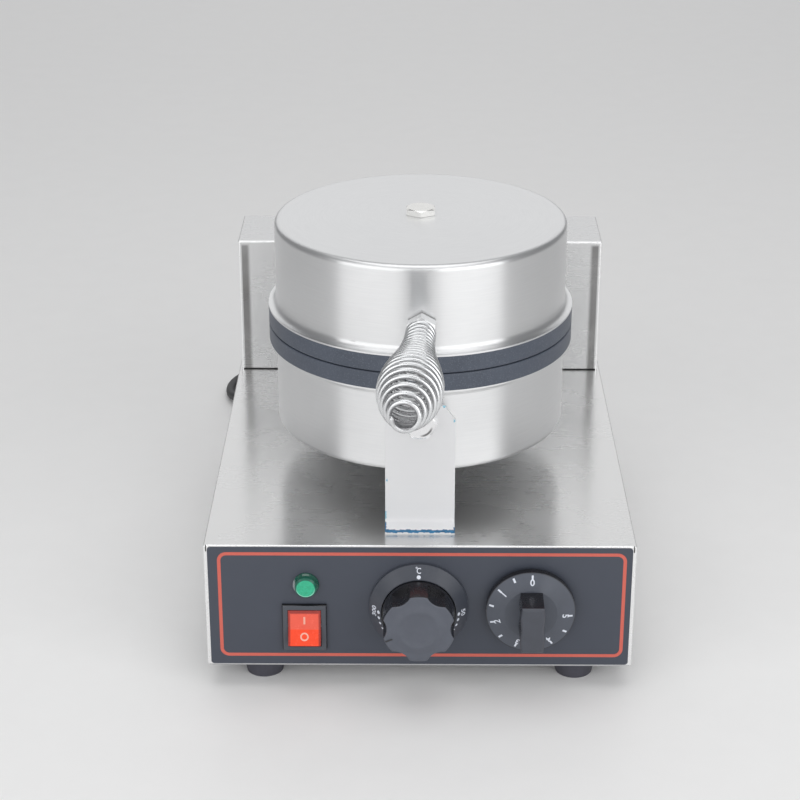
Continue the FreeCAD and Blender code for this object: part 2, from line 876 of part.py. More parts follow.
def thermostat():
    """Thermostat: body, fixed conical ring, spindle and lobed knob."""
    offset = "sizes.thermostat_offset"
    dial_body("thermostat_body", offset, "stat")
    owner, _ = turned(
        "thermostat_ring",
        [
            ("sizes.ring_mouth / 2", "0"),
            ("sizes.ring_diameter / 2", "0"),
            ("sizes.ring_diameter / 2", "sizes.ring_edge"),
            ("sizes.ring_mouth / 2 + sizes.ring_wall / 3", "sizes.ring_rise"),
            ("sizes.ring_mouth / 2", "sizes.ring_rise"),
        ],
        offset,
        "places.skin",
        "places.dial_z",
        "-y",
    )
    node(owner)
    reach = "sizes.stat_knob_reach - sizes.panel_skin"
    core = "sizes.stat_knob_reach / 2"
    spindle("thermostat_spindle", offset, core)
    knob, _ = turned(
        "thermostat_knob",
        [
            (SPINDLE_BORE, "sizes.stat_knob_back"),
            ("sizes.stat_knob_diameter / 2", "sizes.stat_knob_back"),
            ("sizes.stat_knob_diameter / 2", "sizes.ring_rise + 1"),
            ("sizes.stat_knob_face / 2", reach),
            ("0", reach),
            ("0", core),
            (SPINDLE_BORE, core),
        ],
        offset,
        "places.skin",
        "places.dial_z",
        "-y",
        180,
    )
    scallop = sketch(knob, "XY_Plane", f"{reach} + 1")
    out = "(sizes.stat_knob_face / 2 + sizes.scallop_diameter / 2 - sizes.scallop_depth)"
    half_step = "180 / sizes.stat_lobes"
    circle(scallop, "sizes.scallop_diameter / 2", f"{out} * sin({half_step})", f"{out} * cos({half_step})")
    bite = pocket(knob, scallop, "sizes.stat_knob_reach - sizes.ring_rise - 3")
    lobes = pattern(knob, "PolarPattern", bite, "Z_Axis")
    lobes.setExpression("Occurrences", "sizes.stat_lobes")
    lobes.Angle = 360
    doc.recompute()
    face = number(reach)
    rounded(knob, lobes, "sizes.plate_round", lambda edge, middle: abs(middle.z - face) < NEAR)
    node(knob)


def timer():
    """Timer: body, spindle and a knob with a conical skirt and a grip bar."""
    offset = "places.timer_x"
    dial_body("timer_body", offset, "timer")
    core = "sizes.bar_reach / 2"
    spindle("timer_spindle", offset, core)
    knob, _ = turned(
        "timer_knob",
        [
            (SPINDLE_BORE, "sizes.skirt_back"),
            ("sizes.skirt_diameter / 2", "sizes.skirt_back"),
            ("sizes.skirt_diameter / 2", "sizes.skirt_edge"),
            ("sizes.hub_diameter / 2", "sizes.skirt_rise"),
            ("0", "sizes.skirt_rise"),
            ("0", "sizes.skirt_rise - 1"),
            (SPINDLE_BORE, "sizes.skirt_rise - 1"),
        ],
        offset,
        "places.skin",
        "places.dial_z",
        "-y",
        180,
    )
    grip = sketch(knob, "XY_Plane", "sizes.skirt_rise - 1")
    wide, tall = "sizes.bar_width / 2", "sizes.bar_length / 2"
    waist = f"sizes.bar_width * {BAR_WAIST}"
    outline(
        grip,
        [
            (f"-{waist}", f"-{tall}"),
            (waist, f"-{tall}"),
            (wide, f"-{tall} / 2"),
            (waist, "0"),
            (wide, f"{tall} / 2"),
            (waist, tall),
            (f"-{waist}", tall),
            (f"-{wide}", f"{tall} / 2"),
            (f"-{waist}", "0"),
            (f"-{wide}", f"-{tall} / 2"),
        ],
    )
    bar = pad(knob, grip, "sizes.bar_reach - sizes.panel_skin - sizes.skirt_rise + 1")
    face = size("bar_reach") - size("panel_skin")
    rounded(knob, bar, "sizes.bar_round", lambda edge, middle: abs(middle.z - face) < NEAR)
    bore = sketch(knob, "XY_Plane", "sizes.skirt_back")
    circle(bore, SPINDLE_BORE)
    pocket(knob, bore, f"{core} - sizes.skirt_back", back=True)
    node(knob)


def terminal_block():
    """Screw terminal block on the bottom plate near the cord's entry."""
    block = box(
        "terminal_block_body",
        "sizes.terminal_length",
        "sizes.terminal_width",
        "sizes.terminal_height",
        "places.gland_x - sizes.terminal_length / 4",
        "places.rear - 3 * sizes.terminal_width",
        "places.shell_floor",
    )
    wells = []
    for index in range(3):
        wells.append(
            rod(
                f"terminal_well_{index}",
                "sizes.small_screw / 2",
                "sizes.terminal_height / 2",
                f"places.gland_x + sizes.terminal_length * {index} / 4",
                f"places.rear - {TERMINAL_SETBACK} * sizes.terminal_width",
                "places.shell_floor + sizes.terminal_height / 2",
            )
        )
    node(cut("terminal_block", block, *wells))


# Irons: drums, plates, heaters, clamp plates, insulation and centre bolts


def hex_bolt(name, length, rise="sizes.bolt_head", turn=0):
    """A hex bolt along +Z: the head's chamfered top ends at head height, the shank hangs below zero."""
    flats = "sizes.bolt_flats"
    prism = bind(
        doc.addObject("Part::Prism", f"{name}_hex"),
        Circumradius=f"{flats} / 2 / cos(30)",
        Height=rise,
    )
    prism.Polygon = 6
    place(prism, turn=turn)
    crown = bind(
        doc.addObject("Part::Cone", f"{name}_crown"),
        Radius1=f"{flats} * {FLAT_SHARE} + {rise} / tan(30)",
        Radius2=f"{flats} * {FLAT_SHARE}",
        Height=rise,
    )
    head = doc.addObject("Part::Common", f"{name}_head")
    head.Base = prism
    head.Tool = crown
    shank = rod(f"{name}_shank", "sizes.bolt_thread / 2", length, "0", "0", "0", "-z")
    return fuse(name, head, shank)


def stack(item, upper):
    """Sets a piece that is modelled upwards from the seam on the upper iron, or flipped on the lower."""
    return place(item, "0", "places.head_y", "places.seam", "z" if upper else "-z")


BOLT_HOLE = "(sizes.bolt_thread / 2 + sizes.screw_slack)"
BLANKET_HOLE = "(sizes.bolt_thread / 2 + 1)"
TERMINAL_HOLE = "(sizes.heater_tube / 2 + 1)"


def drum(side, upper):
    """Spun steel drum: closed end, rounded shoulder, straight wall and a flared flange over the plate."""
    crown = "sizes.crown" if upper else "0"
    owner, form = turned(
        f"{side}_drum_form",
        [
            ("sizes.plate_diameter / 2", "sizes.plate_edge"),
            ("sizes.plate_diameter / 2", "sizes.plate_edge + sizes.drum_wall"),
            ("places.drum_radius", "sizes.plate_edge + sizes.drum_wall"),
            ("places.drum_radius", "places.drum_top"),
            (BOLT_HOLE, f"places.drum_top + {crown}"),
            (BOLT_HOLE, f"places.drum_top + {crown} - sizes.drum_wall"),
            ("places.drum_radius - sizes.drum_wall", "places.drum_top - sizes.drum_wall"),
            ("places.drum_radius - sizes.drum_wall", "sizes.plate_edge"),
        ],
        "0",
        "0",
        "0",
    )
    radius, top, wall = spot("drum_radius"), spot("drum_top"), size("drum_wall")
    outer = rounded(
        owner, form, "sizes.drum_round", lambda edge, middle: is_ring(edge, radius, top, middle)
    )
    inner = rounded(
        owner,
        outer,
        "sizes.drum_round - sizes.drum_wall",
        lambda edge, middle: is_ring(edge, radius - wall, top - wall, middle),
    )
    flare = size("plate_edge") + wall
    rounded(
        owner, inner, "sizes.flange_round", lambda edge, middle: is_ring(edge, radius, flare, middle)
    )
    return stack(owner, upper)


def plate(side, upper):
    """Cast baking plate: rim, shallow baking recess with a waffle grid, and a threaded boss behind."""
    owner, form = turned(
        f"{side}_plate_form",
        [
            ("0", "sizes.bake_recess"),
            ("sizes.bake_diameter / 2", "sizes.bake_recess"),
            ("sizes.bake_diameter / 2 + sizes.bake_recess", "sizes.seam_gap / 2"),
            ("sizes.plate_diameter / 2", "sizes.seam_gap / 2"),
            ("sizes.plate_diameter / 2", "sizes.plate_edge"),
            ("sizes.boss_diameter / 2", "sizes.plate_edge"),
            ("sizes.boss_diameter / 2", "places.clamp_low"),
            (BOLT_HOLE, "places.clamp_low"),
            (BOLT_HOLE, "sizes.plate_edge - sizes.plate_edge / 3"),
            ("0", "sizes.plate_edge - sizes.plate_edge / 3"),
        ],
        "0",
        "0",
        "0",
    )
    edge_radius, low = size("plate_diameter") / 2, size("seam_gap") / 2
    rounded(
        owner, form, "sizes.plate_round", lambda edge, middle: is_ring(edge, edge_radius, low, middle)
    )
    stack(owner, upper)
    pits = doc.addObject("Part::Feature", f"{side}_waffle_pits")
    pits.Shape = waffle_pits()
    stack(pits, upper)
    node(cut(f"{side}_plate", owner, pits))


def waffle_pits():
    """Square pits on a grid turned by 45 degrees, as many as lie whole inside the baking recess."""
    step, ridge = size("waffle_step"), size("waffle_ridge")
    side = step - ridge
    reach = size("bake_diameter") / 2 - ridge
    count = int(reach // step) + 1
    pits = []
    for column in range(-count, count + 1):
        for row in range(-count, count + 1):
            far = math.hypot(abs(column) * step + side / 2, abs(row) * step + side / 2)
            if far < reach:
                corner = Vector(column * step - side / 2, row * step - side / 2, 0)
                pits.append(Part.makeBox(side, side, size("bake_recess") + size("waffle_depth"), corner))
    group = Part.makeCompound(pits)
    group.rotate(Vector(), UP, 45)
    return group


def heater_shape():
    """Tubular heating ring, open at the back, whose two ends bend up into terminals."""
    ring = size("heater_ring") / 2
    bend = size("heater_bend")
    height = size("plate_edge") + size("heater_tube") / 2
    opening = math.radians(size("heater_opening") / 2)
    start = Vector(ring * math.sin(opening), ring * math.cos(opening), height)
    end = Vector(-start.x, start.y, height)
    far = Vector(0, -ring, height)
    edges = [Part.Arc(start, far, end).toShape()]
    for here, side in ((start, 1), (end, -1)):
        along = Vector(-side * math.cos(opening), math.sin(opening), 0)
        middle = here + along * bend * math.sin(math.pi / 4) + UP * bend * (1 - math.cos(math.pi / 4))
        top = here + along * bend + UP * bend
        tip = top + UP * size("heater_rise")
        corner = [Part.Arc(here, middle, top).toShape(), Part.LineSegment(top, tip).toShape()]
        edges = edges + corner if side == -1 else [corner[1], corner[0]] + edges
    path = Part.Wire(Part.__sortEdges__(edges))
    tip_circle = Part.Circle(path.Vertexes[0].Point, UP, size("heater_tube") / 2)
    return path.makePipeShell([Part.Wire([tip_circle.toShape()])], True, False)


def terminal_spots():
    """Where the heater's terminals stand, beside the irons' axis."""
    ring, bend = size("heater_ring") / 2, size("heater_bend")
    opening = math.radians(size("heater_opening") / 2)
    x = ring * math.sin(opening) - bend * math.cos(opening)
    y = ring * math.cos(opening) + bend * math.sin(opening)
    return [(x, y), (-x, y)]


def terminal_holes(name, low, height):
    """Clearance holes round the heater's terminals, through a plate or the insulation."""
    holes = []
    for index, (x, y) in enumerate(terminal_spots()):
        hole = bind(doc.addObject("Part::Cylinder", f"{name}_hole_{index}"), Radius=TERMINAL_HOLE)
        bind(hole, Height=height)
        hole.Placement.Base = Vector(x, y, number(low))
        holes.append(hole)
    return holes


def iron(side, upper):
    """The pieces that both irons share."""
    plate(side, upper)
    heater = solid_node(f"{side}_heater", heater_shape())
    stack(heater, upper)
    clamp = turned(
        f"{side}_clamp_disc",
        [
            (BOLT_HOLE, "places.clamp_low"),
            ("sizes.clamp_diameter / 2", "places.clamp_low"),
            ("sizes.clamp_diameter / 2", "places.blanket_low"),
            (BOLT_HOLE, "places.blanket_low"),
        ],
        "0",
        "0",
        "0",
    )[0]
    holes = terminal_holes(f"{side}_clamp", "places.clamp_low - 1", "sizes.clamp_sheet + 2")
    node(stack(cut(f"{side}_clamp_plate", clamp, *holes), upper))
    blanket = turned(
        f"{side}_blanket_disc",
        [
            (BLANKET_HOLE, "places.blanket_low"),
            ("places.drum_radius - sizes.drum_wall - sizes.blanket_gap", "places.blanket_low"),
            (
                "places.drum_radius - sizes.drum_wall - sizes.blanket_gap",
                "places.blanket_low + sizes.blanket_thickness",
            ),
            (BLANKET_HOLE, "places.blanket_low + sizes.blanket_thickness"),
        ],
        "0",
        "0",
        "0",
    )[0]
    holes = terminal_holes(f"{side}_blanket", "places.blanket_low - 1", "sizes.blanket_thickness + 2")
    node(stack(cut(f"{side}_insulation", blanket, *holes), upper))
    crown = "sizes.crown" if upper else "0"
    length = f"places.drum_top + {crown} - places.clamp_low + sizes.bolt_grip"
    bolt = hex_bolt(f"{side}_bolt", length, "sizes.cap_head", turn=30)
    if upper:
        place(bolt, "0", "places.head_y", f"places.seam + places.drum_top + {crown}", "z")
    else:
        place(bolt, "0", "places.head_y", "places.drum_low", "-z")
    node(bolt)


def irons():
    """Both irons with the holes that their drums need."""
    lower = drum("lower", False)
    bracket_hole = rod(
        "bracket_bolt_hole",
        BOLT_HOLE,
        "4 * places.drum_radius",
        "0",
        "places.head_y - 2 * places.drum_radius",
        "places.bracket_bolt_z",
        "y",
    )
    lead_hole = rod(
        "lower_lead_hole",
        "sizes.lead_tube_bore / 2",
        "3 * sizes.drum_wall",
        "0",
        "places.head_y + sizes.lead_tube_back",
        "places.drum_low - sizes.drum_wall",
    )
    node(cut("lower_drum", lower, bracket_hole, lead_hole))
    upper = drum("upper", True)
    stud_hole = rod(
        "handle_stud_hole",
        BOLT_HOLE,
        "places.drum_radius",
        "0",
        "places.head_y",
        "places.handle_z",
        "-y",
    )
    stud_hole.Placement.Rotation = FreeCAD.Rotation(UP, handle_axis())
    stud_hole.setExpression("Height", "2 * places.drum_radius")
    stud_hole.setExpression("Placement.Base.y", "places.handle_wall + places.drum_radius / 2")
    shift = "sizes.handle_offset + places.drum_radius / 2 * tan(sizes.handle_lean)"
    stud_hole.setExpression("Placement.Base.x", shift)
    tools = [stud_hole]
    for index, text in enumerate(("-1", "1")):
        tools.append(
            rod(
                f"arm_screw_hole_{index}",
                SCREW_HOLE,
                "places.drum_radius",
                "0",
                "places.head_y + places.drum_radius / 2",
                f"places.saddle_mid + {text} * sizes.arm_screw_spacing / 2",
                "y",
            )
        )
    tools.append(
        rod(
            "upper_lead_hole",
            "sizes.arm_lead_hole / 2",
            "places.drum_radius",
            "0",
            "places.head_y + places.drum_radius / 2",
            "places.saddle_mid",
            "y",
        )
    )
    node(cut("upper_drum", upper, *tools))
    iron("lower", False)
    iron("upper", True)


# Brackets that carry the lower iron, and its lead tube


def bracket(label, y, turn):
    """Bent sheet bracket: an upright with cut corners and a foot flange, with a bolt hole."""
    owner = body(label, "0", y, "places.base_top", turn=turn)
    profile = sketch(owner, "XZ_Plane")
    half, top, corner = "sizes.bracket_width / 2", "sizes.bracket_height", "sizes.bracket_corner"
    outline(
        profile,
        [
            (f"-{half}", "0"),
            (half, "0"),
            (half, f"{top} - {corner} * {CORNER_FALL}"),
            (f"{half} - {corner} * {CORNER_INSET}", top),
            (f"-{half} + {corner} * {CORNER_INSET}", top),
            (f"-{half}", f"{top} - {corner} * {CORNER_FALL}"),
        ],
    )
    circle(profile, BOLT_HOLE, "0", "sizes.bracket_bolt_height")
    pad(owner, profile, "sizes.bracket_sheet", back=True)
    foot = sketch(owner, "XY_Plane")
    rectangle(foot, f"-{half}", half, "-sizes.bracket_foot", "sizes.bracket_sheet")
    flange = pad(owner, foot, "sizes.bracket_sheet")
    sheet = size("bracket_sheet")
    inner = rounded(
        owner,
        flange,
        "sizes.bracket_sheet",
        lambda edge, middle: abs(middle.y) < NEAR and abs(middle.z - sheet) < NEAR,
    )
    rounded(
        owner,
        inner,
        "1.5 * sizes.bracket_sheet",
        lambda edge, middle: abs(middle.y - sheet) < NEAR and abs(middle.z) < NEAR,
    )
    node(owner)


def bracket_bolt(label, y, axis):
    """The bolt that ties a bracket to the drum's wall, with its head outside the bracket."""
    length = "sizes.bracket_sheet + sizes.bracket_standoff + sizes.bolt_grip"
    node(place(hex_bolt(label, length), "0", y, "places.bracket_bolt_z", axis))


def carriers():
    """Front and rear brackets with their bolts and spacers, and the lead tube under the lower iron."""
    bracket("front_bracket", "places.bracket_y", 0)
    bracket("rear_bracket", "places.bracket_rear_y", 180)
    bracket_bolt("front_bracket_bolt", "places.bracket_y", "-y")
    bracket_bolt("rear_bracket_bolt", "places.bracket_rear_y", "y")
    spacer = turned(
        "spacer_form",
        [
            (BOLT_HOLE, "0"),
            ("sizes.spacer_diameter / 2", "0"),
            ("sizes.spacer_diameter / 2", "sizes.bracket_standoff"),
            (BOLT_HOLE, "sizes.bracket_standoff"),
        ],
        "0",
        "0",
        "0",
        "y",
    )[0]
    front_y = spot("bracket_y") + size("bracket_sheet")
    rear_y = spot("bracket_rear_y") - size("bracket_sheet") - size("bracket_standoff")
    height = spot("bracket_bolt_z")
    copies("bracket_spacers", spacer, [(0, front_y, height), (0, rear_y, height)])
    tube = turned(
        "lead_tube",
        [
            ("sizes.lead_tube_bore / 2", "0"),
            ("sizes.lead_tube_diameter / 2", "0"),
            ("sizes.lead_tube_diameter / 2", "sizes.head_clearance"),
            ("sizes.lead_tube_bore / 2", "sizes.head_clearance"),
        ],
        "0",
        "places.head_y + sizes.lead_tube_back",
        "places.base_top",
    )[0]
    node(tube)


# Hinge tower: sheet cover, back, bearings, shaft, arm and bushes


def tower_shell():
    """Folded cover with a lipped open back, a notch for the arm and a gap under its front."""
    owner = body("tower_shell", "0", "places.tower_front", "places.base_top")
    profile = sketch(owner, "XY_Plane")
    half = "places.tower_width / 2"
    rectangle(profile, f"-{half}", half, "0", "sizes.tower_depth")
    block = pad(owner, profile, "sizes.tower_height")
    top = size("tower_height")
    rounded(
        owner,
        block,
        "sizes.fold_round",
        lambda edge, middle: middle.z > NEAR and (abs(middle.y) < NEAR or abs(middle.z - top) < NEAR),
    )
    hollow = sketch(owner, "XY_Plane")
    inner = f"{half} - sizes.sheet"
    rectangle(hollow, f"-({inner})", inner, "sizes.sheet", "sizes.tower_depth - sizes.sheet")
    pocket(owner, hollow, "sizes.tower_height - sizes.sheet", back=True)
    back = sketch(owner, "XZ_Plane", "-sizes.tower_depth")
    lip = f"{half} - sizes.sheet - sizes.tower_lip"
    lip_top = "sizes.tower_height - sizes.sheet - sizes.tower_lip"
    rectangle(back, f"-({lip})", lip, "sizes.tower_lip", lip_top)
    pocket(owner, back, "2 * sizes.sheet", back=True)
    notch = "sizes.arm_width / 2 + sizes.notch_side_gap"
    face = sketch(owner, "XZ_Plane")
    rectangle(face, f"-({notch})", notch, "sizes.tower_height - sizes.notch_drop", "sizes.tower_height + 1")
    pocket(owner, face, "sizes.notch_depth")
    foot = sketch(owner, "XZ_Plane")
    rectangle(foot, f"-({inner})", inner, "0", "sizes.tower_foot_gap")
    pocket(owner, foot, "2 * sizes.sheet")
    screws = sketch(owner, "XZ_Plane", "-sizes.tower_depth")
    for x, z in BACK_SPOTS:
        circle(screws, SCREW_HOLE, x, z)
    pocket(owner, screws, "2 * sizes.sheet", back=True)
    node(owner)


BACK_X = "places.tower_width / 2 - sizes.sheet - sizes.tower_lip / 2"
BACK_SPOTS = [
    (f"{side} * ({BACK_X})", height)
    for side in (-1, 1)
    for height in (
        "sizes.sheet + sizes.tower_lip / 2",
        "sizes.tower_height - sizes.sheet - sizes.tower_lip / 2",
    )
]


def tower_back():
    """Screwed back cover with a row of louvre slots."""
    owner = body("tower_back", "0", "places.tower_rear", "places.base_top")
    profile = sketch(owner, "XZ_Plane")
    half = "places.tower_width / 2 - sizes.sheet"
    rectangle(profile, f"-({half})", half, "sizes.sheet", "sizes.tower_height - sizes.sheet")
    for x, z in BACK_SPOTS:
        circle(profile, SCREW_HOLE, x, z)
    pad(owner, profile, "sizes.sheet", back=True)
    slot = sketch(owner, "XZ_Plane")
    first = "sizes.louvre_step * (sizes.louvre_count - 1) / 2"
    rectangle(
        slot,
        f"-{first} - sizes.louvre_width / 2",
        f"-{first} + sizes.louvre_width / 2",
        "(sizes.tower_height - sizes.louvre_length) / 2",
        "(sizes.tower_height + sizes.louvre_length) / 2",
    )
    cut_slot = pocket(owner, slot, "sizes.sheet")
    slots = pattern(owner, "LinearPattern", cut_slot, "X_Axis")
    slots.setExpression("Length", "sizes.louvre_step * (sizes.louvre_count - 1)")
    slots.setExpression("Occurrences", "sizes.louvre_count")
    doc.recompute()
    node(owner)
    screw = small_screw("tower_screw_form", "3 * sizes.sheet", "-y")
    spots = [
        (number(x), spot("tower_rear") + size("sheet"), spot("base_top") + number(z)) for x, z in BACK_SPOTS
    ]
    copies("tower_screws", screw, spots)


def bearing(label, side, turn):
    """Bearing bracket inside the tower: an upright with a rounded top and a foot on the base."""
    owner = body(label, f"{side} * places.bearing_x", "places.hinge_y", "places.base_top", turn=turn)
    profile = sketch(owner, "YZ_Plane")
    half = "sizes.bearing_width / 2"
    shoulder = "sizes.hinge_height - sizes.bearing_top"
    top = "sizes.hinge_height + sizes.bearing_top"
    outline(
        profile,
        [
            (f"-{half}", "0"),
            (half, "0"),
            (half, shoulder),
            (f"{half} / 2", top),
            (f"-{half} / 2", top),
            (f"-{half}", shoulder),
        ],
    )
    circle(profile, "sizes.shaft_diameter / 2 + sizes.running_slack", "0", "sizes.hinge_height")
    pad(owner, profile, "sizes.bearing_sheet")
    foot = sketch(owner, "XY_Plane")
    rectangle(foot, "0", "sizes.bearing_foot", f"-{half}", half)
    pad(owner, foot, "sizes.bearing_sheet")
    node(owner)


def hinge_arm():
    """Channel-shaped arm: two cheeks and a top web from the shaft to a saddle on the drum's back."""
    low = "places.seam + sizes.saddle_low - places.hinge_z"
    high = "places.seam + sizes.saddle_high - places.hinge_z"
    inside = "places.saddle_y - places.drum_radius / 3"
    shoulder = "places.saddle_y + sizes.arm_shoulder"
    step_out = "places.saddle_y + (sizes.plate_diameter - sizes.drum_diameter) / 2 + sizes.arm_sheet"
    hub = "sizes.arm_hub / 2"
    web = "sizes.arm_sheet"

    def channel(name, drop, wide):
        """The arm's side outline as a prism across its width, with its upper side lowered by drop."""
        owner = body(name, "0", "places.hinge_y", "places.hinge_z")
        profile = sketch(owner, "YZ_Plane")
        below = "0" if drop == "0" else f"2 * {web}"
        outline(
            profile,
            [
                (inside, f"{low} - {below}"),
                (step_out, f"{low} - {below}"),
                # Corners of the heel round the hinge, as shares of the hub's radius.
                (f"-0.4 * {hub}", f"-0.9 * {hub} - {below}"),
                (f"0.6 * {hub} + {below}", f"-0.8 * {hub} - {below}"),
                (f"{hub} + {below}", "0"),
                (f"0.6 * {hub} + {below}", f"0.8 * {hub} - {drop}"),
                (shoulder, f"{high} - {drop}"),
                (inside, f"{high} - {drop}"),
            ],
        )
        pad(owner, profile, wide, both=True)
        return owner

    outer = channel("hinge_arm_outer", "0", "sizes.arm_width")
    inner = channel("hinge_arm_inner", web, "sizes.arm_width - 2 * sizes.arm_sheet")
    saddle = rod(
        "hinge_arm_saddle",
        "places.drum_radius + sizes.arm_sheet",
        "sizes.drum_height * 3",
        "0",
        "places.head_y",
        "places.seam - sizes.drum_height",
    )
    hollow = cut("hinge_arm_hollow", inner, saddle)
    wall = rod(
        "hinge_arm_wall",
        "places.drum_radius",
        "sizes.drum_height * 3",
        "0",
        "places.head_y",
        "places.seam - sizes.drum_height",
    )
    holes = [
        rod(
            "hinge_arm_bush_hole",
            "sizes.bush_diameter / 2 + sizes.running_slack / 3",
            "sizes.arm_width + 2",
            "-sizes.arm_width / 2 - 1",
            "places.hinge_y",
            "places.hinge_z",
            "x",
        ),
        rod(
            "hinge_arm_lead_hole",
            "sizes.arm_lead_hole / 2",
            "places.drum_radius / 2 + sizes.arm_shoulder / 2",
            "0",
            "places.head_y + places.drum_radius / 2",
            "places.saddle_mid",
            "y",
        ),
    ]
    for index, text in enumerate(("-1", "1")):
        holes.append(
            rod(
                f"hinge_arm_screw_hole_{index}",
                SCREW_HOLE,
                "places.drum_radius / 2 + sizes.arm_shoulder / 2",
                "0",
                "places.head_y + places.drum_radius / 2",
                f"places.saddle_mid + {text} * sizes.arm_screw_spacing / 2",
                "y",
            )
        )
    node(cut("hinge_arm", outer, wall, hollow, *holes))
    screw = small_screw("arm_screw_form", "sizes.arm_sheet + sizes.drum_wall + 3", "-y")
    reach = spot("head_y") + spot("drum_radius") + size("arm_sheet")
    gap = size("arm_screw_spacing") / 2
    copies("arm_screws", screw, [(0, reach, spot("saddle_mid") + lift) for lift in (-gap, gap)])


def hinge():
    """Bearings, shaft, clips, arm and bushes."""
    tower_shell()
    tower_back()
    bearing("right_bearing", 1, 0)
    bearing("left_bearing", -1, 180)
    half = "(places.bearing_x + sizes.bearing_sheet + 2 * sizes.clip_thickness)"
    node(
        rod(
            "hinge_shaft",
            "sizes.shaft_diameter / 2",
            f"2 * {half}",
            f"-{half}",
            "places.hinge_y",
            "places.hinge_z",
            "x",
        )
    )
    ring = turned(
        "clip_form",
        [
            ("sizes.shaft_diameter / 2 + sizes.running_slack", "0"),
            ("sizes.clip_diameter / 2", "0"),
            ("sizes.clip_diameter / 2", "sizes.clip_thickness"),
            ("sizes.shaft_diameter / 2 + sizes.running_slack", "sizes.clip_thickness"),
        ],
        "0",
        "0",
        "0",
        "x",
    )[0]
    outside = spot("bearing_x") + size("bearing_sheet")
    copies(
        "shaft_clips",
        ring,
        [
            (outside, spot("hinge_y"), spot("hinge_z")),
            (-outside - size("clip_thickness"), spot("hinge_y"), spot("hinge_z")),
        ],
    )
    hinge_arm()
    start = "sizes.arm_width / 2 - sizes.arm_sheet - sizes.bush_inset"
    length = f"places.bearing_x - sizes.seat_gap - ({start})"
    sleeve = turned(
        "bush_form",
        [
            ("sizes.shaft_diameter / 2 + sizes.running_slack", "0"),
            ("sizes.bush_diameter / 2", "0"),
            ("sizes.bush_diameter / 2", length),
            ("sizes.shaft_diameter / 2 + sizes.running_slack", length),
        ],
        "0",
        "0",
        "0",
        "x",
    )[0]
    first = number(start)
    copies(
        "hinge_bushes",
        sleeve,
        [
            (first, spot("hinge_y"), spot("hinge_z")),
            (-first - number(length), spot("hinge_y"), spot("hinge_z")),
        ],
    )


# Handle: stud, nut and the barrel coil


def handle_axis():
    """The handle's direction: forwards, leaning a little to the left."""
    lean = math.radians(size("handle_lean"))
    return Vector(-math.sin(lean), -math.cos(lean), 0)


def handle_frame():
    """The point where the handle leaves the drum's wall, and its turn from the Z axis."""
    root = Vector(size("handle_offset"), spot("handle_wall"), spot("handle_z"))
    return FreeCAD.Placement(root, FreeCAD.Rotation(UP, handle_axis()))


def coil_radius(share):
    """Radius to the wire's centre at a share of the coil's length: neck, belly and mouth."""
    swell = math.log(0.5) / math.log(size("coil_peak"))
    bulge = math.sin(math.pi * share**swell) ** size("coil_fullness")
    neck, belly, mouth = (size(name) / 2 for name in ("coil_neck", "coil_belly", "coil_mouth"))
    return neck + (belly - neck) * bulge + (mouth - neck) * share - size("coil_wire") / 2


def biarc(here, heading, there, leaving):
    """Two arcs that join two points and follow the given unit direction at each."""
    span = there - here
    total = heading + leaving
    bend = 2 * (1 - heading.dot(leaving))
    across = span.dot(total)
    reach = (math.sqrt(across**2 + bend * span.dot(span)) - across) / bend
    first = here + heading * reach
    second = there - leaving * reach
    joint = (first + second) * 0.5
    arcs = []
    for start, corner, end in ((here, first, joint), (joint, second, there)):
        chord = (start + end) * 0.5
        turn = (corner - start).getAngle(end - corner)
        rise = (end - start).Length / 2 * math.tan(turn / 4)
        arcs.append(Part.Arc(start, chord + (corner - chord).normalize() * rise, end).toShape())
    return arcs


def wound_tube(curve, turns, diameter, steps=4):
    """One unbroken tube along a wound curve of turns, on biarcs, with straight ends one diameter long."""
    nudge = 1e-4

    def heading(turn):
        low, high = max(turn - nudge, 0), min(turn + nudge, turns)
        return (curve(high) - curve(low)).normalize()

    marks = [turns * index / (round(turns * steps)) for index in range(round(turns * steps) + 1)]
    edges = [Part.LineSegment(curve(0) - heading(0) * diameter, curve(0)).toShape()]
    for here, there in zip(marks, marks[1:]):
        edges += biarc(curve(here), heading(here), curve(there), heading(there))
    edges.append(Part.LineSegment(curve(turns), curve(turns) + heading(turns) * diameter).toShape())
    path = Part.Wire(edges)
    ring = Part.Circle(curve(0) - heading(0) * diameter, heading(0), diameter / 2)
    return path, path.makePipeShell([Part.Wire([ring.toShape()])], True, False)


def least_gap(curve, turns, diameter, per_turn=48):
    """The least clear gap between points of a wound curve that lie over half a turn apart."""
    points = [curve(index / per_turn) for index in range(int(turns * per_turn) + 1)]
    least = math.inf
    for index, here in enumerate(points):
        for there in points[index + per_turn // 2 : index + 2 * per_turn]:
            least = min(least, here.distanceToPoint(there))
    return least - diameter


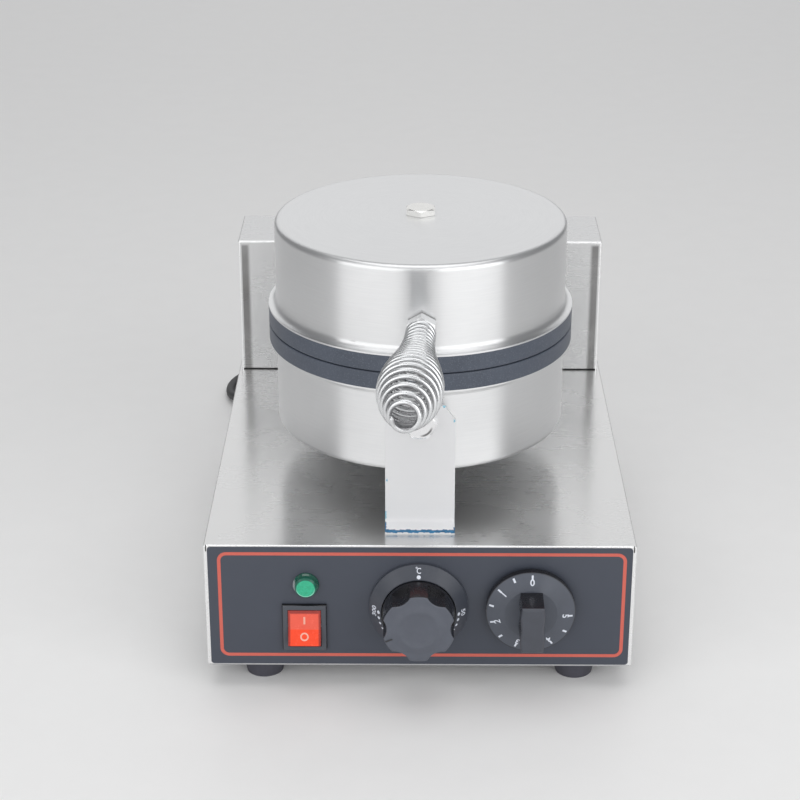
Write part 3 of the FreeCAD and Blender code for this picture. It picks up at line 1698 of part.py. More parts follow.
def handle():
    """Threaded stud through the drum's wall, its hex nut and the coil grip wound on its spigot."""
    frame = handle_frame()
    wire, turns = size("coil_wire"), size("coil_turns")
    nut_end = size("handle_nut")
    lean = math.cos(math.radians(size("handle_lean")))
    tip = (spot("handle_wall") - spot("front") + size("handle_reach")) / lean
    first = nut_end + wire / 2 + size("screw_slack")
    last = tip - COIL_TUCK * wire

    def curve(turn):
        share = turn / turns
        angle = 2 * math.pi * turn
        radius = coil_radius(share)
        along = first + share * (last - first)
        return Vector(radius * math.cos(angle), radius * math.sin(angle), along)

    shape = wound_tube(curve, turns, wire)[1]
    print("handle coil gap", round(least_gap(curve, turns, wire), 3))
    solid_node("handle_coil", shape).Placement = frame
    spigot = size("coil_neck") / 2 - wire - size("seat_gap")
    thread = size("bolt_thread") / 2
    stud = Part.makeCylinder(thread, nut_end + size("stud_inside"), Vector(0, 0, -size("stud_inside")))
    stud = stud.fuse(Part.makeCylinder(spigot, size("spigot_length"), Vector(0, 0, nut_end)))
    solid_node("handle_stud", stud.removeSplitter()).Placement = frame
    corner = size("handle_nut_flats") / 2 / math.cos(math.pi / 6)
    angles = [nut_turn(frame) + math.pi * index / 3 for index in range(7)]
    corners = [Vector(corner * math.cos(angle), corner * math.sin(angle), 0) for angle in angles]
    nut = Part.Face(Part.makePolygon(corners)).extrude(UP * nut_end)
    chamfer = Part.makeCone(
        size("handle_nut_flats") * FLAT_SHARE + nut_end / math.tan(math.pi / 6),
        size("handle_nut_flats") * FLAT_SHARE,
        nut_end,
    )
    nut = nut.common(chamfer).cut(Part.makeCylinder(thread + size("screw_slack"), nut_end))
    nut = nut.cut(drum_wall_in(frame))
    solid_node("handle_nut", nut).Placement = frame


def nut_turn(frame):
    """The turn about the handle that points one corner of its nut straight up."""
    sideways = frame.Rotation.multVec(Vector(1, 0, 0))
    other = frame.Rotation.multVec(Vector(0, 1, 0))
    return math.atan2(other.z, sideways.z)


def drum_wall_in(frame):
    """The drum's wall as a cylinder in the handle's own frame, to seat the nut on it."""
    wall = Part.makeCylinder(spot("drum_radius"), size("drum_height"), Vector(0, spot("head_y"), 0))
    wall.translate(Vector(0, 0, spot("handle_z") - size("drum_height") / 2))
    wall.transformShape(frame.inverse().toMatrix())
    return wall


# Mains lead: gland, free run, wound coil with its tie, tail and plug

def coil_centre():
    """The middle of the wound coil on the floor, behind the base."""
    return Vector(spot("gland_x") + COIL_ASIDE, spot("rear") + size("cord_coil_setback"), 0)


def coil_floor():
    """Height of the cord's centre in the coil's lower layer, above its strap."""
    return size("cord_diameter") / 2 + size("tie_thickness") + TIE_ROOM


def lead_points():
    """Corners of the lead's run: out of the gland, down to the floor, round and into the coil."""
    x, y, z = spot("gland_x"), spot("gland_y"), size("gland_height")
    floor, entry = size("cord_diameter") / 2, coil_floor()
    centre = coil_centre()
    north = centre.y + size("cord_coil_outer")
    out, side, down, along = (size(f"lead_{name}") for name in ("out", "side", "down", "along"))
    descent = [(x - share * side, y + out + past, z - fall) for share, past, fall in LEAD_DESCENT]
    return [
        (x, y, z),
        (x, y + out, z),
        *descent,
        (x - side, y + down, floor + LEAD_RISES[0]),
        (x - side, y + down + along, floor + LEAD_RISES[1]),
        (x - LEAD_RETURN * side, north, (floor + entry) / 2),
        (centre.x - size("cord_diameter"), north, entry),
    ]


def tail_points():
    """Corners of the tail's run from the coil's upper layer to the plug."""
    centre = coil_centre()
    north = centre.y + size("cord_coil_outer")
    start, end = coil_floor() + size("cord_layer"), size("plug_thickness") / 2
    x = centre.x + size("cord_diameter")
    return [
        (x, north, start),
        (x + TAIL_FIRST, north, start - TAIL_SAG),
        (x + TAIL_SECOND, north - TAIL_ASIDE, end - TAIL_SAG),
        (x + TAIL_END, north - TAIL_ASIDE, end),
    ]


def rounded_path(label, points):
    """Straight runs joined by tangent arcs as large as the runs allow."""
    corners = [Vector(*point) for point in points]
    edges, start, radii = [], corners[0], []
    for before, corner, after in zip(corners, corners[1:], corners[2:]):
        arriving = (corner - before).normalize()
        leaving = (after - corner).normalize()
        turn = arriving.getAngle(leaving)
        reach = CORNER_REACH * min((corner - before).Length, (after - corner).Length)
        radii.append(round(reach / math.tan(turn / 2)))
        here, there = corner - arriving * reach, corner + leaving * reach
        inward = (leaving - arriving).normalize()
        depth = reach / math.tan(turn / 2) * (1 / math.cos(turn / 2) - 1)
        edges.append(Part.LineSegment(start, here).toShape())
        edges.append(Part.Arc(here, corner + inward * depth, there).toShape())
        start = there
    edges.append(Part.LineSegment(start, corners[-1]).toShape())
    print(label, "radii", radii)
    return Part.Wire(edges)


def cord_tube(label, points):
    """A round tube along a rounded path."""
    path = rounded_path(label, points)
    start = Vector(*points[0])
    ring = Part.Circle(start, Vector(*points[1]) - start, size("cord_diameter") / 2)
    tube = path.makePipeShell([Part.Wire([ring.toShape()])], True, False)
    print(label, "length", round(path.Length), "volume share",
          round(tube.Volume / (path.Length * math.pi * size("cord_diameter") ** 2 / 4), 4))
    solid_node(label, tube)


def cord_coil():
    """Six turns in two layers: inwards below, up a layer where the spiral turns back, outwards above."""
    diameter, turns = size("cord_diameter"), size("cord_coil_turns")
    outer, step = size("cord_coil_outer"), size("cord_step")
    centre, floor = coil_centre(), coil_floor()

    def curve(turn):
        radius = outer - step * (turns / 2 - abs(turn - turns / 2))
        angle = math.pi / 2 - 2 * math.pi * turn
        climb = min(max(turn - turns / 2 + COIL_CLIMB / 2, 0), COIL_CLIMB) / COIL_CLIMB
        lift = size("cord_layer") * climb * climb * (3 - 2 * climb)
        return centre + Vector(radius * math.cos(angle), radius * math.sin(angle), floor + lift)

    path, shape = wound_tube(curve, turns, diameter)
    print("cord coil gap", round(least_gap(curve, turns, diameter), 3), "length", round(path.Length))
    solid_node("cord_coil", shape)


def cord_tie():
    """A strap round the coil's section on the side away from the lead's entry."""
    outer, step = size("cord_coil_outer"), size("cord_step")
    radius, thick = size("cord_diameter") / 2, size("tie_thickness")
    width, gap = size("tie_width"), size("seat_gap")
    centre = coil_centre()
    inner_y = centre.y - (outer - step / 2) - radius - gap
    bow = (width / 2) ** 2 / (2 * (outer - step * (size("cord_coil_turns") / 2 - 0.5)))
    depth = step * (size("cord_coil_turns") / 2 - 1) + 2 * radius + 2 * gap + bow
    height = size("cord_layer") + 2 * radius + gap + TIE_ROOM
    corner = Vector(centre.x - width / 2, inner_y - thick, 0)
    strap = Part.makeBox(width, depth + 2 * thick, height + 2 * thick, corner)
    strap = strap.cut(Part.makeBox(width, depth, height, corner + Vector(0, thick, thick)))
    solid_node("cord_tie", strap)


def cord_gland():
    """Flanged strain relief with a tapered boot on the base's back."""
    node(
        turned(
            "cord_gland",
            [
                ("0", "0"),
                ("sizes.gland_flange / 2", "0"),
                ("sizes.gland_flange / 2", "sizes.gland_flange_rise"),
                ("sizes.gland_base / 2", "sizes.gland_flange_rise"),
                (f"sizes.cord_diameter / 2 + {GLAND_WALL}", "sizes.gland_flange_rise + sizes.gland_boot"),
                ("0", "sizes.gland_flange_rise + sizes.gland_boot"),
            ],
            "places.gland_x",
            "places.rear",
            "sizes.gland_height",
            "y",
        )[0]
    )


def plug():
    """Earthed plug with three flat pins lying on the floor, and its tapered boot."""
    start = Vector(*tail_points()[-1])
    near_cord = size("cord_diameter") / 2 + BOOT_WALL
    near_plug = size("plug_thickness") / 2 - BOOT_STEP
    boot = Part.makeCone(near_cord, near_plug, size("plug_boot"), start, Vector(1, 0, 0))
    width, thick, length = size("plug_width"), size("plug_thickness"), size("plug_length")
    wide, narrow = width / 2, width / 3
    base_x = start.x + size("plug_boot")
    shape = [(0, -narrow), (length, -wide), (length, wide), (0, narrow)]
    corners = [Vector(base_x + x, start.y + y, start.z - thick / 2) for x, y in shape]
    block = Part.Face(Part.makePolygon(corners + corners[:1])).extrude(Vector(0, 0, thick))
    edges = [edge for edge in block.Edges if edge.Length > thick - NEAR]
    block = block.makeFillet(PLUG_ROUND, edges)
    solid_node("plug_body", boot.fuse(block).removeSplitter())
    face_x = base_x + length
    pins = []
    for side, z, turn in PIN_PLACES:
        pin = Part.makeBox(size("pin_length"), size("pin_thickness"), size("pin_width"))
        pin.translate(Vector(0, -size("pin_thickness") / 2, -size("pin_width") / 2))
        pin.rotate(Vector(), Vector(1, 0, 0), 90 - turn)
        pin.translate(Vector(face_x, start.y + side * size("pin_spread"), start.z + z))
        pins.append(pin)
    solid_node("plug_pins", Part.makeCompound(pins))


def mains_lead():
    """All pieces of the lead."""
    cord_gland()
    cord_tube("cord_lead", lead_points())
    cord_coil()
    cord_tie()
    cord_tube("cord_tail", tail_points())
    plug()


def check_and_write():
    """Stops at any failed object or bad shape, then writes one file for each sub-part."""
    doc.recompute()
    for item in doc.Objects:
        if "Invalid" in item.State or "Error" in item.State:
            raise RuntimeError(f"{item.Name} failed: {item.State}")
    os.makedirs("parts", exist_ok=True)
    for item in NODES:
        if item.Shape.isNull() or not item.Shape.isValid():
            raise RuntimeError(f"{item.Label} has no valid shape")
    for item in NODES:
        item.Shape.exportStep(f"parts/{item.Label}.step")
    print(len(NODES), "sub-parts")


ground_pieces()
panel_overlay()
power_switch()
indicator_lamp()
thermostat()
timer()
terminal_block()
irons()
carriers()
hinge()
handle()
mains_lead()
check_and_write()
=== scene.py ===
import math

import bmesh
import bpy
import numpy as np
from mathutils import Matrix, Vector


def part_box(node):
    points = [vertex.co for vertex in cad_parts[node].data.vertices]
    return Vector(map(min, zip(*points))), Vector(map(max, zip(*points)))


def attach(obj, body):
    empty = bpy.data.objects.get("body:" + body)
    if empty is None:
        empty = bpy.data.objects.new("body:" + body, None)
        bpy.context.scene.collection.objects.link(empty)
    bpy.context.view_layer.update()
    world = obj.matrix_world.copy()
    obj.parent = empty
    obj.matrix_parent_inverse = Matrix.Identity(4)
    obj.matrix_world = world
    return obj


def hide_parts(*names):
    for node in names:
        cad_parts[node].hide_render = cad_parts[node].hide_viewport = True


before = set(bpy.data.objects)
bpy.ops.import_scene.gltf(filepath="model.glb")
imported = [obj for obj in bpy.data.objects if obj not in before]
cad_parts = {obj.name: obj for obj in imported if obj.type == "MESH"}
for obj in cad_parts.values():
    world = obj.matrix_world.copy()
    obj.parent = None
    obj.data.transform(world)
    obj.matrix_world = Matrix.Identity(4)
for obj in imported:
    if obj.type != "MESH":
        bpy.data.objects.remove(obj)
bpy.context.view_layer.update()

# Waffle cone maker, in metres: X to the right, Y to the back, Z up.

MM = 0.001
MICRON = 0.000001


# Places and sizes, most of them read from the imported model


def corners(node):
    """The lower and the upper corner of a node's box, as arrays."""
    return [np.array(corner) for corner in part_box(node)]


def middle(node):
    """The centre of a node's box."""
    low, high = corners(node)
    return (low + high) / 2


BASE_LOW, BASE_HIGH = corners("base_shell")
TOWER_LOW, TOWER_HIGH = corners("tower_shell")
BRACKET_LOW, BRACKET_HIGH = corners("front_bracket")
BRACKET_SHEET = 2.0 * MM
UPRIGHT_Y = BRACKET_HIGH[1] - BRACKET_SHEET
SKIN_Y = corners("panel_overlay")[0][1]
DRUM_TOP = float(corners("upper_drum")[1][2])
HEAD_WALL = 88.0 * MM
HEAD = middle("lower_plate")
STAT = middle("thermostat_ring")
TIMER = middle("timer_knob")
LAMP = middle("lamp_lens")
SWITCH = middle("switch_housing")
BOLT = middle("front_bracket_bolt")


# Meshes from grids of points


def mesh_piece(name, points, faces, material, body, smooth=True):
    """A mesh object in the row frame that rides on a body."""
    mesh = bpy.data.meshes.new(name)
    mesh.from_pydata(np.asarray(points).reshape(-1, 3).tolist(), [], faces)
    mesh.update()
    mesh.polygons.foreach_set("use_smooth", np.full(len(mesh.polygons), smooth))
    mesh.materials.append(material)
    piece = bpy.data.objects.new(name, mesh)
    bpy.context.scene.collection.objects.link(piece)
    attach(piece, body)
    return piece


def grid_faces(rows, columns, round_rows=False, round_columns=False):
    """Quads between neighbours of a grid, closed in either direction where asked."""
    row = np.arange(rows if round_rows else rows - 1)
    column = np.arange(columns if round_columns else columns - 1)
    row, column = (part.ravel() for part in np.meshgrid(row, column, indexing="ij"))
    below, beside = (row + 1) % rows, (column + 1) % columns
    quad = ((row, column), (below, column), (below, beside), (row, beside))
    return np.stack([r * columns + c for r, c in quad], axis=1).tolist()


SQUARE = [(-1, -1), (1, -1), (1, 1), (-1, 1)]


def unit(vectors):
    """Vectors of length one along the last axis."""
    return vectors / np.linalg.norm(vectors, axis=-1, keepdims=True)


# Shader values and materials


class Value:
    """A shader value that combines with others and with numbers by plain arithmetic."""

    def __init__(self, paint, socket):
        self.paint = paint
        self.socket = socket

    def maths(self, operation, *others):
        return self.paint.node("ShaderNodeMath", {"operation": operation}, self, *others)

    def __add__(self, other):
        return self.maths("ADD", other)

    def __sub__(self, other):
        return self.maths("SUBTRACT", other)

    def __rsub__(self, other):
        return self.paint.node("ShaderNodeMath", {"operation": "SUBTRACT"}, other, self)

    def __mul__(self, other):
        return self.maths("MULTIPLY", other)

    def __truediv__(self, other):
        return self.maths("DIVIDE", other)

    __radd__ = __add__
    __rmul__ = __mul__

    def __abs__(self):
        return self.maths("ABSOLUTE")

    def step(self, low, high):
        """Rises smoothly from 0 at low to 1 at high."""
        settings = {"interpolation_type": "SMOOTHSTEP"}
        return self.paint.node("ShaderNodeMapRange", settings, self, low, high, 0.0, 1.0)


class Paint:
    """One material: a principled surface with the nodes that vary it."""

    def __init__(self, name, **constants):
        self.material = bpy.data.materials.new(name)
        self.material.use_nodes = True
        self.tree = self.material.node_tree
        self.surface = self.tree.nodes["Principled BSDF"]
        for socket, value in constants.items():
            self.surface.inputs[socket.replace("_", " ")].default_value = value

    def node(self, kind, settings=None, *inputs, output=0):
        """Adds a node, sets its options and feeds its inputs in order.

        None leaves an input alone.
        """
        made = self.tree.nodes.new(kind)
        for option, value in (settings or {}).items():
            setattr(made, option, value)
        for socket, value in zip(made.inputs, inputs):
            self.feed(socket, value)
        return Value(self, made.outputs[output])

    def feed(self, socket, value):
        """Links a value to a socket, or sets a number on it."""
        if isinstance(value, Value):
            self.tree.links.new(value.socket, socket)
        elif value is not None:
            socket.default_value = value

    def place(self):
        """The three object coordinates."""
        where = self.node("ShaderNodeTexCoord", output="Object")
        parts = self.tree.nodes.new("ShaderNodeSeparateXYZ")
        self.tree.links.new(where.socket, parts.inputs[0])
        return [Value(self, socket) for socket in parts.outputs]

    def distance(self, first, second, middle):
        """Distance from an axis through middle, by the two coordinates across it."""
        first, second = first - float(middle[0]), second - float(middle[1])
        return (first * first + second * second).maths("SQRT")

    def vector(self, x, y, z):
        return self.node("ShaderNodeCombineXYZ", None, x, y, z)

    def noise(self, vector, scale, detail=2.0, rough=0.5):
        return self.node("ShaderNodeTexNoise", None, vector, None, scale, detail, rough)

    def cells(self, vector, scale):
        """Distance to the nearest of scattered points."""
        return self.node("ShaderNodeTexVoronoi", None, vector, None, scale)

    def colour(self, factor, first, second):
        """A colour between two, each a triple or another colour."""
        made = self.tree.nodes.new("ShaderNodeMix")
        made.data_type = "RGBA"
        self.feed(made.inputs[0], factor)
        # The colours have their own sockets, after those for numbers and vectors.
        for socket, value in ((made.inputs[6], first), (made.inputs[7], second)):
            self.feed(socket, value if isinstance(value, Value) else (*value, 1.0))
        return Value(self, made.outputs[2])

    def show(self, **inputs):
        """Feeds the surface's sockets."""
        for socket, value in inputs.items():
            self.feed(self.surface.inputs[socket.replace("_", " ")], value)
        return self

    def blend(self, factor, other):
        """Shows another surface where the factor is 1."""
        own = Value(self, self.surface.outputs[0])
        mixed = self.node("ShaderNodeMixShader", None, factor, own, other)
        self.feed(self.tree.nodes["Material Output"].inputs["Surface"], mixed)

    def relief(self, height, depth, strength=1.0):
        """Bump of a real depth in metres."""
        bump = self.tree.nodes.new("ShaderNodeBump")
        bump.inputs["Strength"].default_value = strength
        bump.inputs["Distance"].default_value = depth
        self.feed(bump.inputs["Height"], height)
        self.tree.links.new(bump.outputs["Normal"], self.surface.inputs["Normal"])
        return self


def brushed_sheet(
    name, dark=(0.65, 0.653, 0.658), light=(0.74, 0.742, 0.745), gloss=0.27, metal=1.0, marks=()
):
    """Stainless sheet brushed across: fine streaks along X, with soft smudges.

    Reflections are drawn out across the streaks. Each of marks is a function of the coordinates
    that gives a mask, a colour and a strength.
    """
    paint = Paint(name, Metallic=metal, Anisotropic=0.85)
    x, y, z = paint.place()
    along, across = 9.0, 1400.0
    streaks = paint.noise(paint.vector(x * along, y * across, z * across), 1.0)
    smudge = paint.noise(paint.vector(x, y, z), 22.0, 4.0, 0.6)
    tone = paint.colour(streaks * 0.3 + smudge * 0.7, dark, light)
    for mark in marks:
        mask, shade, strength = mark(x, y, z)
        tone = paint.colour(mask * strength, tone, shade)
    paint.show(Base_Color=tone, Roughness=streaks * 0.04 + smudge * 0.12 + (gloss - 0.08))
    paint.show(Tangent=paint.vector(0.0, 1.0, 1.0))
    return paint.relief(streaks, 0.2 * MICRON).material


def painted_fold_highlight(x, y, z):
    """Painted highlight: a pale band on the base's front folds round the panel."""
    front = y.step(BASE_LOW[1] + 1.6 * MM, BASE_LOW[1] + 0.9 * MM)
    return front, (0.95, 0.952, 0.955), 0.9


def corner_seam(x, y, z):
    """The open seam at each upper front corner of the base, about 0.6 mm wide and 4 mm tall."""
    beside = abs(abs(x) - (BASE_HIGH[0] - 1.5 * MM)).step(0.45 * MM, 0.2 * MM)
    upper = z.step(BASE_HIGH[2] - 4.2 * MM, BASE_HIGH[2] - 3.8 * MM)
    front = y.step(BASE_LOW[1] + 1.0 * MM, BASE_LOW[1] + 0.6 * MM)
    return beside * upper * front, (0.03, 0.03, 0.03), 1.0


def painted_edge_reflection(x, y, z):
    """Painted reflection: an uneven dark upright band beside each side fold of the tower's front."""
    beside, front, top = abs(x), TOWER_LOW[1], TOWER_HIGH[2]
    band = beside.step(114.5 * MM, 117.5 * MM) * beside.step(121.2 * MM, 120.4 * MM)
    band = band * z.step(top - 1.5 * MM, top - 4.0 * MM)
    band = band * y.step(front + 3.0 * MM, front + 1.0 * MM)
    uneven = x.paint.noise(x.paint.vector(x * 12.0, 0.0, z * 28.0), 1.0)
    return band * (uneven * 0.7 + 0.5), (0.14, 0.137, 0.133), 0.85


def painted_tower_fold_highlight(x, y, z):
    """Painted highlight on the folds round the tower's front."""
    side = abs(x).step(121.4 * MM, 122.2 * MM)
    top = z.step(TOWER_HIGH[2] - 1.7 * MM, TOWER_HIGH[2] - 0.9 * MM)
    front = y.step(TOWER_LOW[1] + 2.0 * MM, TOWER_LOW[1] + 1.2 * MM)
    return side.maths("MAXIMUM", top) * front, (0.97, 0.972, 0.975), 0.9


def spun_steel(name, centre, top, dark=(0.66, 0.665, 0.672), light=(0.80, 0.803, 0.806)):
    """Steel spun about an upright axis: drawn-out reflections on the wall, even satin on the top."""
    paint = Paint(name, Metallic=1.0, Anisotropic=0.9, Anisotropic_Rotation=0.25)
    x, y, z = paint.place()
    x, y = x - float(centre[0]), y - float(centre[1])
    radius = (x * x + y * y).maths("SQRT")
    round_way, fine = 5.0, 1600.0
    lines = paint.vector(x / radius * round_way, y / radius * round_way, (z + radius) * fine)
    streaks = paint.noise(lines, 1.0)
    smudge = paint.noise(paint.vector(x, y, z), 30.0, 4.0, 0.6)
    tone = paint.colour(streaks * 0.5 + smudge * 0.5, dark, light)
    paint.show(Base_Color=tone, Roughness=streaks * 0.10 + smudge * 0.12 + 0.23)
    satin = paint.node("ShaderNodeBsdfPrincipled", None, tone, 1.0, smudge * 0.12 + 0.30)
    paint.blend(z.step(top - 5.5 * MM, top - 3.0 * MM), satin)
    return paint.relief(streaks, 3.0 * MICRON).material


# Tone of painted shadow on plated parts.
PAINTED_SHADOW_TONE = (0.075, 0.073, 0.073)


def nut_wall_shadow(x, y, z):
    """Mask of the painted shadow line on the handle nut beside the drum wall."""
    away = x.paint.distance(x, y, HEAD)
    return (1.0 - away.step(HEAD_WALL + 1.0 * MM, HEAD_WALL + 2.6 * MM)) * 0.8


def bolt_head_shade(x, y, z):
    """Mask of the painted shade arc at the lower right of the front bracket bolt's head."""
    arc_radius, below_right = 6.8 * MM, math.radians(50.0)
    right, down = x - float(BOLT[0]), float(BOLT[2]) - z
    away = x.paint.distance(x, z, BOLT[[0, 2]])
    facing = (right * math.cos(below_right) + down * math.sin(below_right)) / away
    ring = 1.0 - abs(away - arc_radius).step(0.2 * MM, 1.0 * MM)
    return ring * facing.step(0.70, 0.98) * 0.85


def bright_metal(name, dark, light, rough, speckle=900.0, pits=0.5, line=None):
    """Plated metal with a faint mottle and small pits, and painted shade where a mask is given."""
    paint = Paint(name, Metallic=1.0)
    x, y, z = paint.place()
    where = paint.vector(x, y, z)
    mottle = paint.noise(where, speckle, 3.0, 0.6)
    stain = paint.noise(where, 120.0, 3.0, 0.6)
    tone = mottle * 0.5 + stain * 0.6
    shade = paint.colour(tone, dark, light)
    # Painted shade: where a mask is given, the tone turns towards the painted shadow tone.
    if line:
        shade = paint.colour(line(x, y, z), shade, PAINTED_SHADOW_TONE)
    paint.show(Base_Color=shade, Roughness=mottle * 0.12 + stain * 0.1 + rough)
    return paint.relief(mottle, 20.0 * MICRON, pits).material


def polished_wire(name):
    """Bright plated wire with faint cloudy wear, and painted shade on the inner side of its turns.
    """
    paint = Paint(name, Metallic=1.0)
    x, y, z = paint.place()
    cloud = paint.noise(paint.vector(x, y, z), 160.0, 3.0, 0.6)
    bright = paint.colour(cloud, (0.66, 0.67, 0.68), (0.76, 0.77, 0.78))
    inside = paint.node("ShaderNodeAttribute", {"attribute_name": "inside"}, output="Fac")
    # Painted shade: darker where the attribute "inside" marks the side towards the handle's axis.
    paint.show(Base_Color=paint.colour(inside.step(-0.05, 0.75), bright, (0.34, 0.34, 0.35)))
    return paint.show(Roughness=cloud * 0.05 + 0.25).material


def moulded_plastic(name, dark, light, rough, grain=1400.0, depth=40.0 * MICRON, **constants):
    """Moulded plastic with a fine spark-eroded grain and faint handling marks."""
    paint = Paint(name, **constants)
    x, y, z = paint.place()
    where = paint.vector(x, y, z)
    grains = paint.noise(where, grain, 2.0, 0.6)
    marks = paint.noise(where, 90.0, 4.0, 0.65)
    paint.show(
        Base_Color=paint.colour(grains * 0.5 + marks * 0.5, dark, light),
        Roughness=grains * 0.12 + marks * 0.2 + (rough - 0.14),
    )
    return paint.relief(grains, depth).material


def coated_casting(name):
    """Dark coated casting: blue-grey with fine light speckles and a pebbled skin."""
    paint = Paint(name)
    x, y, z = paint.place()
    where = paint.vector(x, y, z)
    pebbles = paint.noise(where, 1100.0, 3.0, 0.7)
    speckle = paint.cells(where, 900.0).step(0.35, 0.12)
    cloud = paint.noise(where, 60.0, 3.0, 0.6)
    tone = paint.colour(pebbles * 0.6 + cloud * 0.4, (0.029, 0.036, 0.051), (0.100, 0.119, 0.158))
    paint.show(
        Base_Color=paint.colour(speckle * 0.35, tone, (0.20, 0.22, 0.26)),
        Roughness=pebbles * 0.25 + 0.34,
    )
    return paint.relief(pebbles, 90.0 * MICRON).material


def rubbery(name, dark, light, rough=0.62):
    """Rubber or soft sheath with dust-like tone changes."""
    return moulded_plastic(name, dark, light, rough, grain=700.0, depth=50.0 * MICRON)


def wool(name):
    """Matted mineral fibres."""
    paint = Paint(name)
    x, y, z = paint.place()
    flat, upright = 300.0, 1500.0
    fibres = paint.noise(paint.vector(x * flat, y * flat, z * upright), 1.0, 4.0, 0.7)
    paint.show(Base_Color=paint.colour(fibres, (0.50, 0.47, 0.38), (0.86, 0.83, 0.74)))
    paint.show(Roughness=fibres * 0.1 + 0.85)
    return paint.relief(fibres, 0.6 * MM).material


def clouded_film(name, dark, light, grain):
    """Thin glossy coloured film with soft clouding."""
    paint = Paint(name, Coat_Weight=0.2, Coat_Roughness=0.08)
    x, y, z = paint.place()
    cloud = paint.noise(paint.vector(x, y, z), grain, 3.0, 0.6)
    paint.show(Base_Color=paint.colour(cloud, dark, light), Roughness=cloud * 0.12 + 0.18)
    return paint.relief(cloud, 60.0 * MICRON).material


def two_tone_plastic(name, side, *bands):
    """Moulded plastic whose tone follows the rise off the panel.

    Each of bands is (from, to, colour).
    """
    paint = Paint(name, Coat_Weight=0.25, Coat_Roughness=0.15)
    x, y, z = paint.place()
    where = paint.vector(x, y, z)
    grains = paint.noise(where, 1400.0, 2.0, 0.6)
    marks = paint.noise(where, 90.0, 4.0, 0.65)
    rise = float(SKIN_Y) - y
    soft = 0.15 * MM
    tone, matt = side, 0.0
    for low, high, shade in bands:
        band = rise.step(low - soft, low + soft) * rise.step(high + soft, high - soft)
        tone = paint.colour(band, tone, shade)
        matt = band * 0.22 + matt
    tone = paint.colour(marks * 0.35, tone, (0.012, 0.013, 0.016))
    paint.show(Base_Color=tone, Roughness=grains * 0.12 + marks * 0.15 + matt + 0.12)
    return paint.relief(grains, 30.0 * MICRON).material


ROCKER_HALF = 10.8 * MM


def rocker_plastic(name):
    """Red rocker with a painted glow: a painted highlight on the upper half, deep orange-red lower
    half and painted shade at the edges.
    """
    # Painted glow: the rocker emits its own tone.
    paint = Paint(name, Coat_Weight=0.3, Coat_Roughness=0.1, Emission_Strength=0.2)
    x, y, z = paint.place()
    cloud = paint.noise(paint.vector(x, y, z), 260.0, 3.0, 0.6)
    half_wide = 9.5 * MM
    across, level = float(SWITCH[0]), float(SWITCH[2])
    upper = z.step(level - 0.1 * MM, level + 0.1 * MM)
    side = abs(x - across).step(half_wide - 1.7 * MM, half_wide - 0.7 * MM)
    end = abs(z - level).step(ROCKER_HALF - 1.5 * MM, ROCKER_HALF - 0.3 * MM)
    # Painted shade along the rocker's sides and ends.
    edge = side.maths("MAXIMUM", end)
    deep = paint.colour(cloud, (0.72, 0.040, 0.005), (0.82, 0.055, 0.008))
    # Painted highlight: the upper half's paler tone.
    painted_sheen_tone = paint.colour(cloud, (0.64, 0.072, 0.040), (0.74, 0.098, 0.056))
    tone = paint.colour(edge * 0.8, paint.colour(upper, deep, painted_sheen_tone), (0.16, 0.006, 0.006))
    paint.show(Base_Color=tone, Emission_Color=tone, Roughness=cloud * 0.12 + 0.2)
    return paint.relief(cloud, 40.0 * MICRON).material


def pebbled_lens(name):
    """Green lens: pebbled bright face, a painted highlight along its lower edge and a darker collar.
    """
    paint = Paint(name, Coat_Weight=0.35, Coat_Roughness=0.05, Emission_Strength=0.2)
    x, y, z = paint.place()
    pebbles = paint.noise(paint.vector(x, y, z), 1500.0, 2.0, 0.5)
    out = paint.distance(x, z, (LAMP[0], LAMP[2]))
    low = (float(LAMP[2]) - z).step(-1.0 * MM, 4.0 * MM)
    face = paint.colour(pebbles, (0.003, 0.190, 0.085), (0.030, 0.490, 0.290))
    # Painted highlight: a pale line round the lower edge of the face.
    rim = out.step(4.9 * MM, 5.3 * MM) * out.step(5.9 * MM, 5.6 * MM) * low
    tone = paint.colour(out.step(5.0 * MM, 5.6 * MM), face, (0.004, 0.085, 0.055))
    tone = paint.colour(rim * 0.7, tone, (0.33, 0.76, 0.60))
    paint.show(Base_Color=tone, Emission_Color=tone, Roughness=pebbles * 0.2 + 0.25)
    return paint.relief(pebbles, 120.0 * MICRON).material


def lens_collar(name):
    """Dark green collar of the lens with a painted pale reflection on its left side."""
    paint = Paint(name, Coat_Weight=0.9, Coat_Roughness=0.06)
    x, y, z = paint.place()
    cloud = paint.noise(paint.vector(x, y, z), 500.0, 3.0, 0.6)
    out = paint.distance(x, z, (LAMP[0], LAMP[2]))
    left = float(LAMP[0]) - x + (float(LAMP[2]) - z) * 0.35
    # Painted reflection: a pale crescent on the collar's left side.
    reflected_crescent = left.step(4.6 * MM, 6.2 * MM) * out.step(6.1 * MM, 6.6 * MM)
    green = paint.colour(cloud, (0.003, 0.050, 0.034), (0.008, 0.110, 0.072))
    tone = paint.colour(reflected_crescent * 0.8, green, (0.42, 0.44, 0.46))
    paint.show(Base_Color=tone, Roughness=cloud * 0.1 + 0.1)
    return paint.relief(cloud, 40.0 * MICRON).material


def print_ink(name, dark, light):
    """Printed ink with slightly uneven cover."""
    return moulded_plastic(name, dark, light, rough=0.5, grain=2200.0, depth=10.0 * MICRON)


CHROME_TONES = (0.46, 0.465, 0.47), (0.68, 0.685, 0.69)
KNOB_SIDE = (0.010, 0.010, 0.013)
STAT_FACE = SKIN_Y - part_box("thermostat_knob")[0][1]
BAR_FACE = SKIN_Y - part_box("timer_knob")[0][1]
HOUSING_FACE = SKIN_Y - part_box("switch_housing")[0][1]
# A tone that runs to a face's outermost point ends a metre off the panel.
NO_END = 1.0
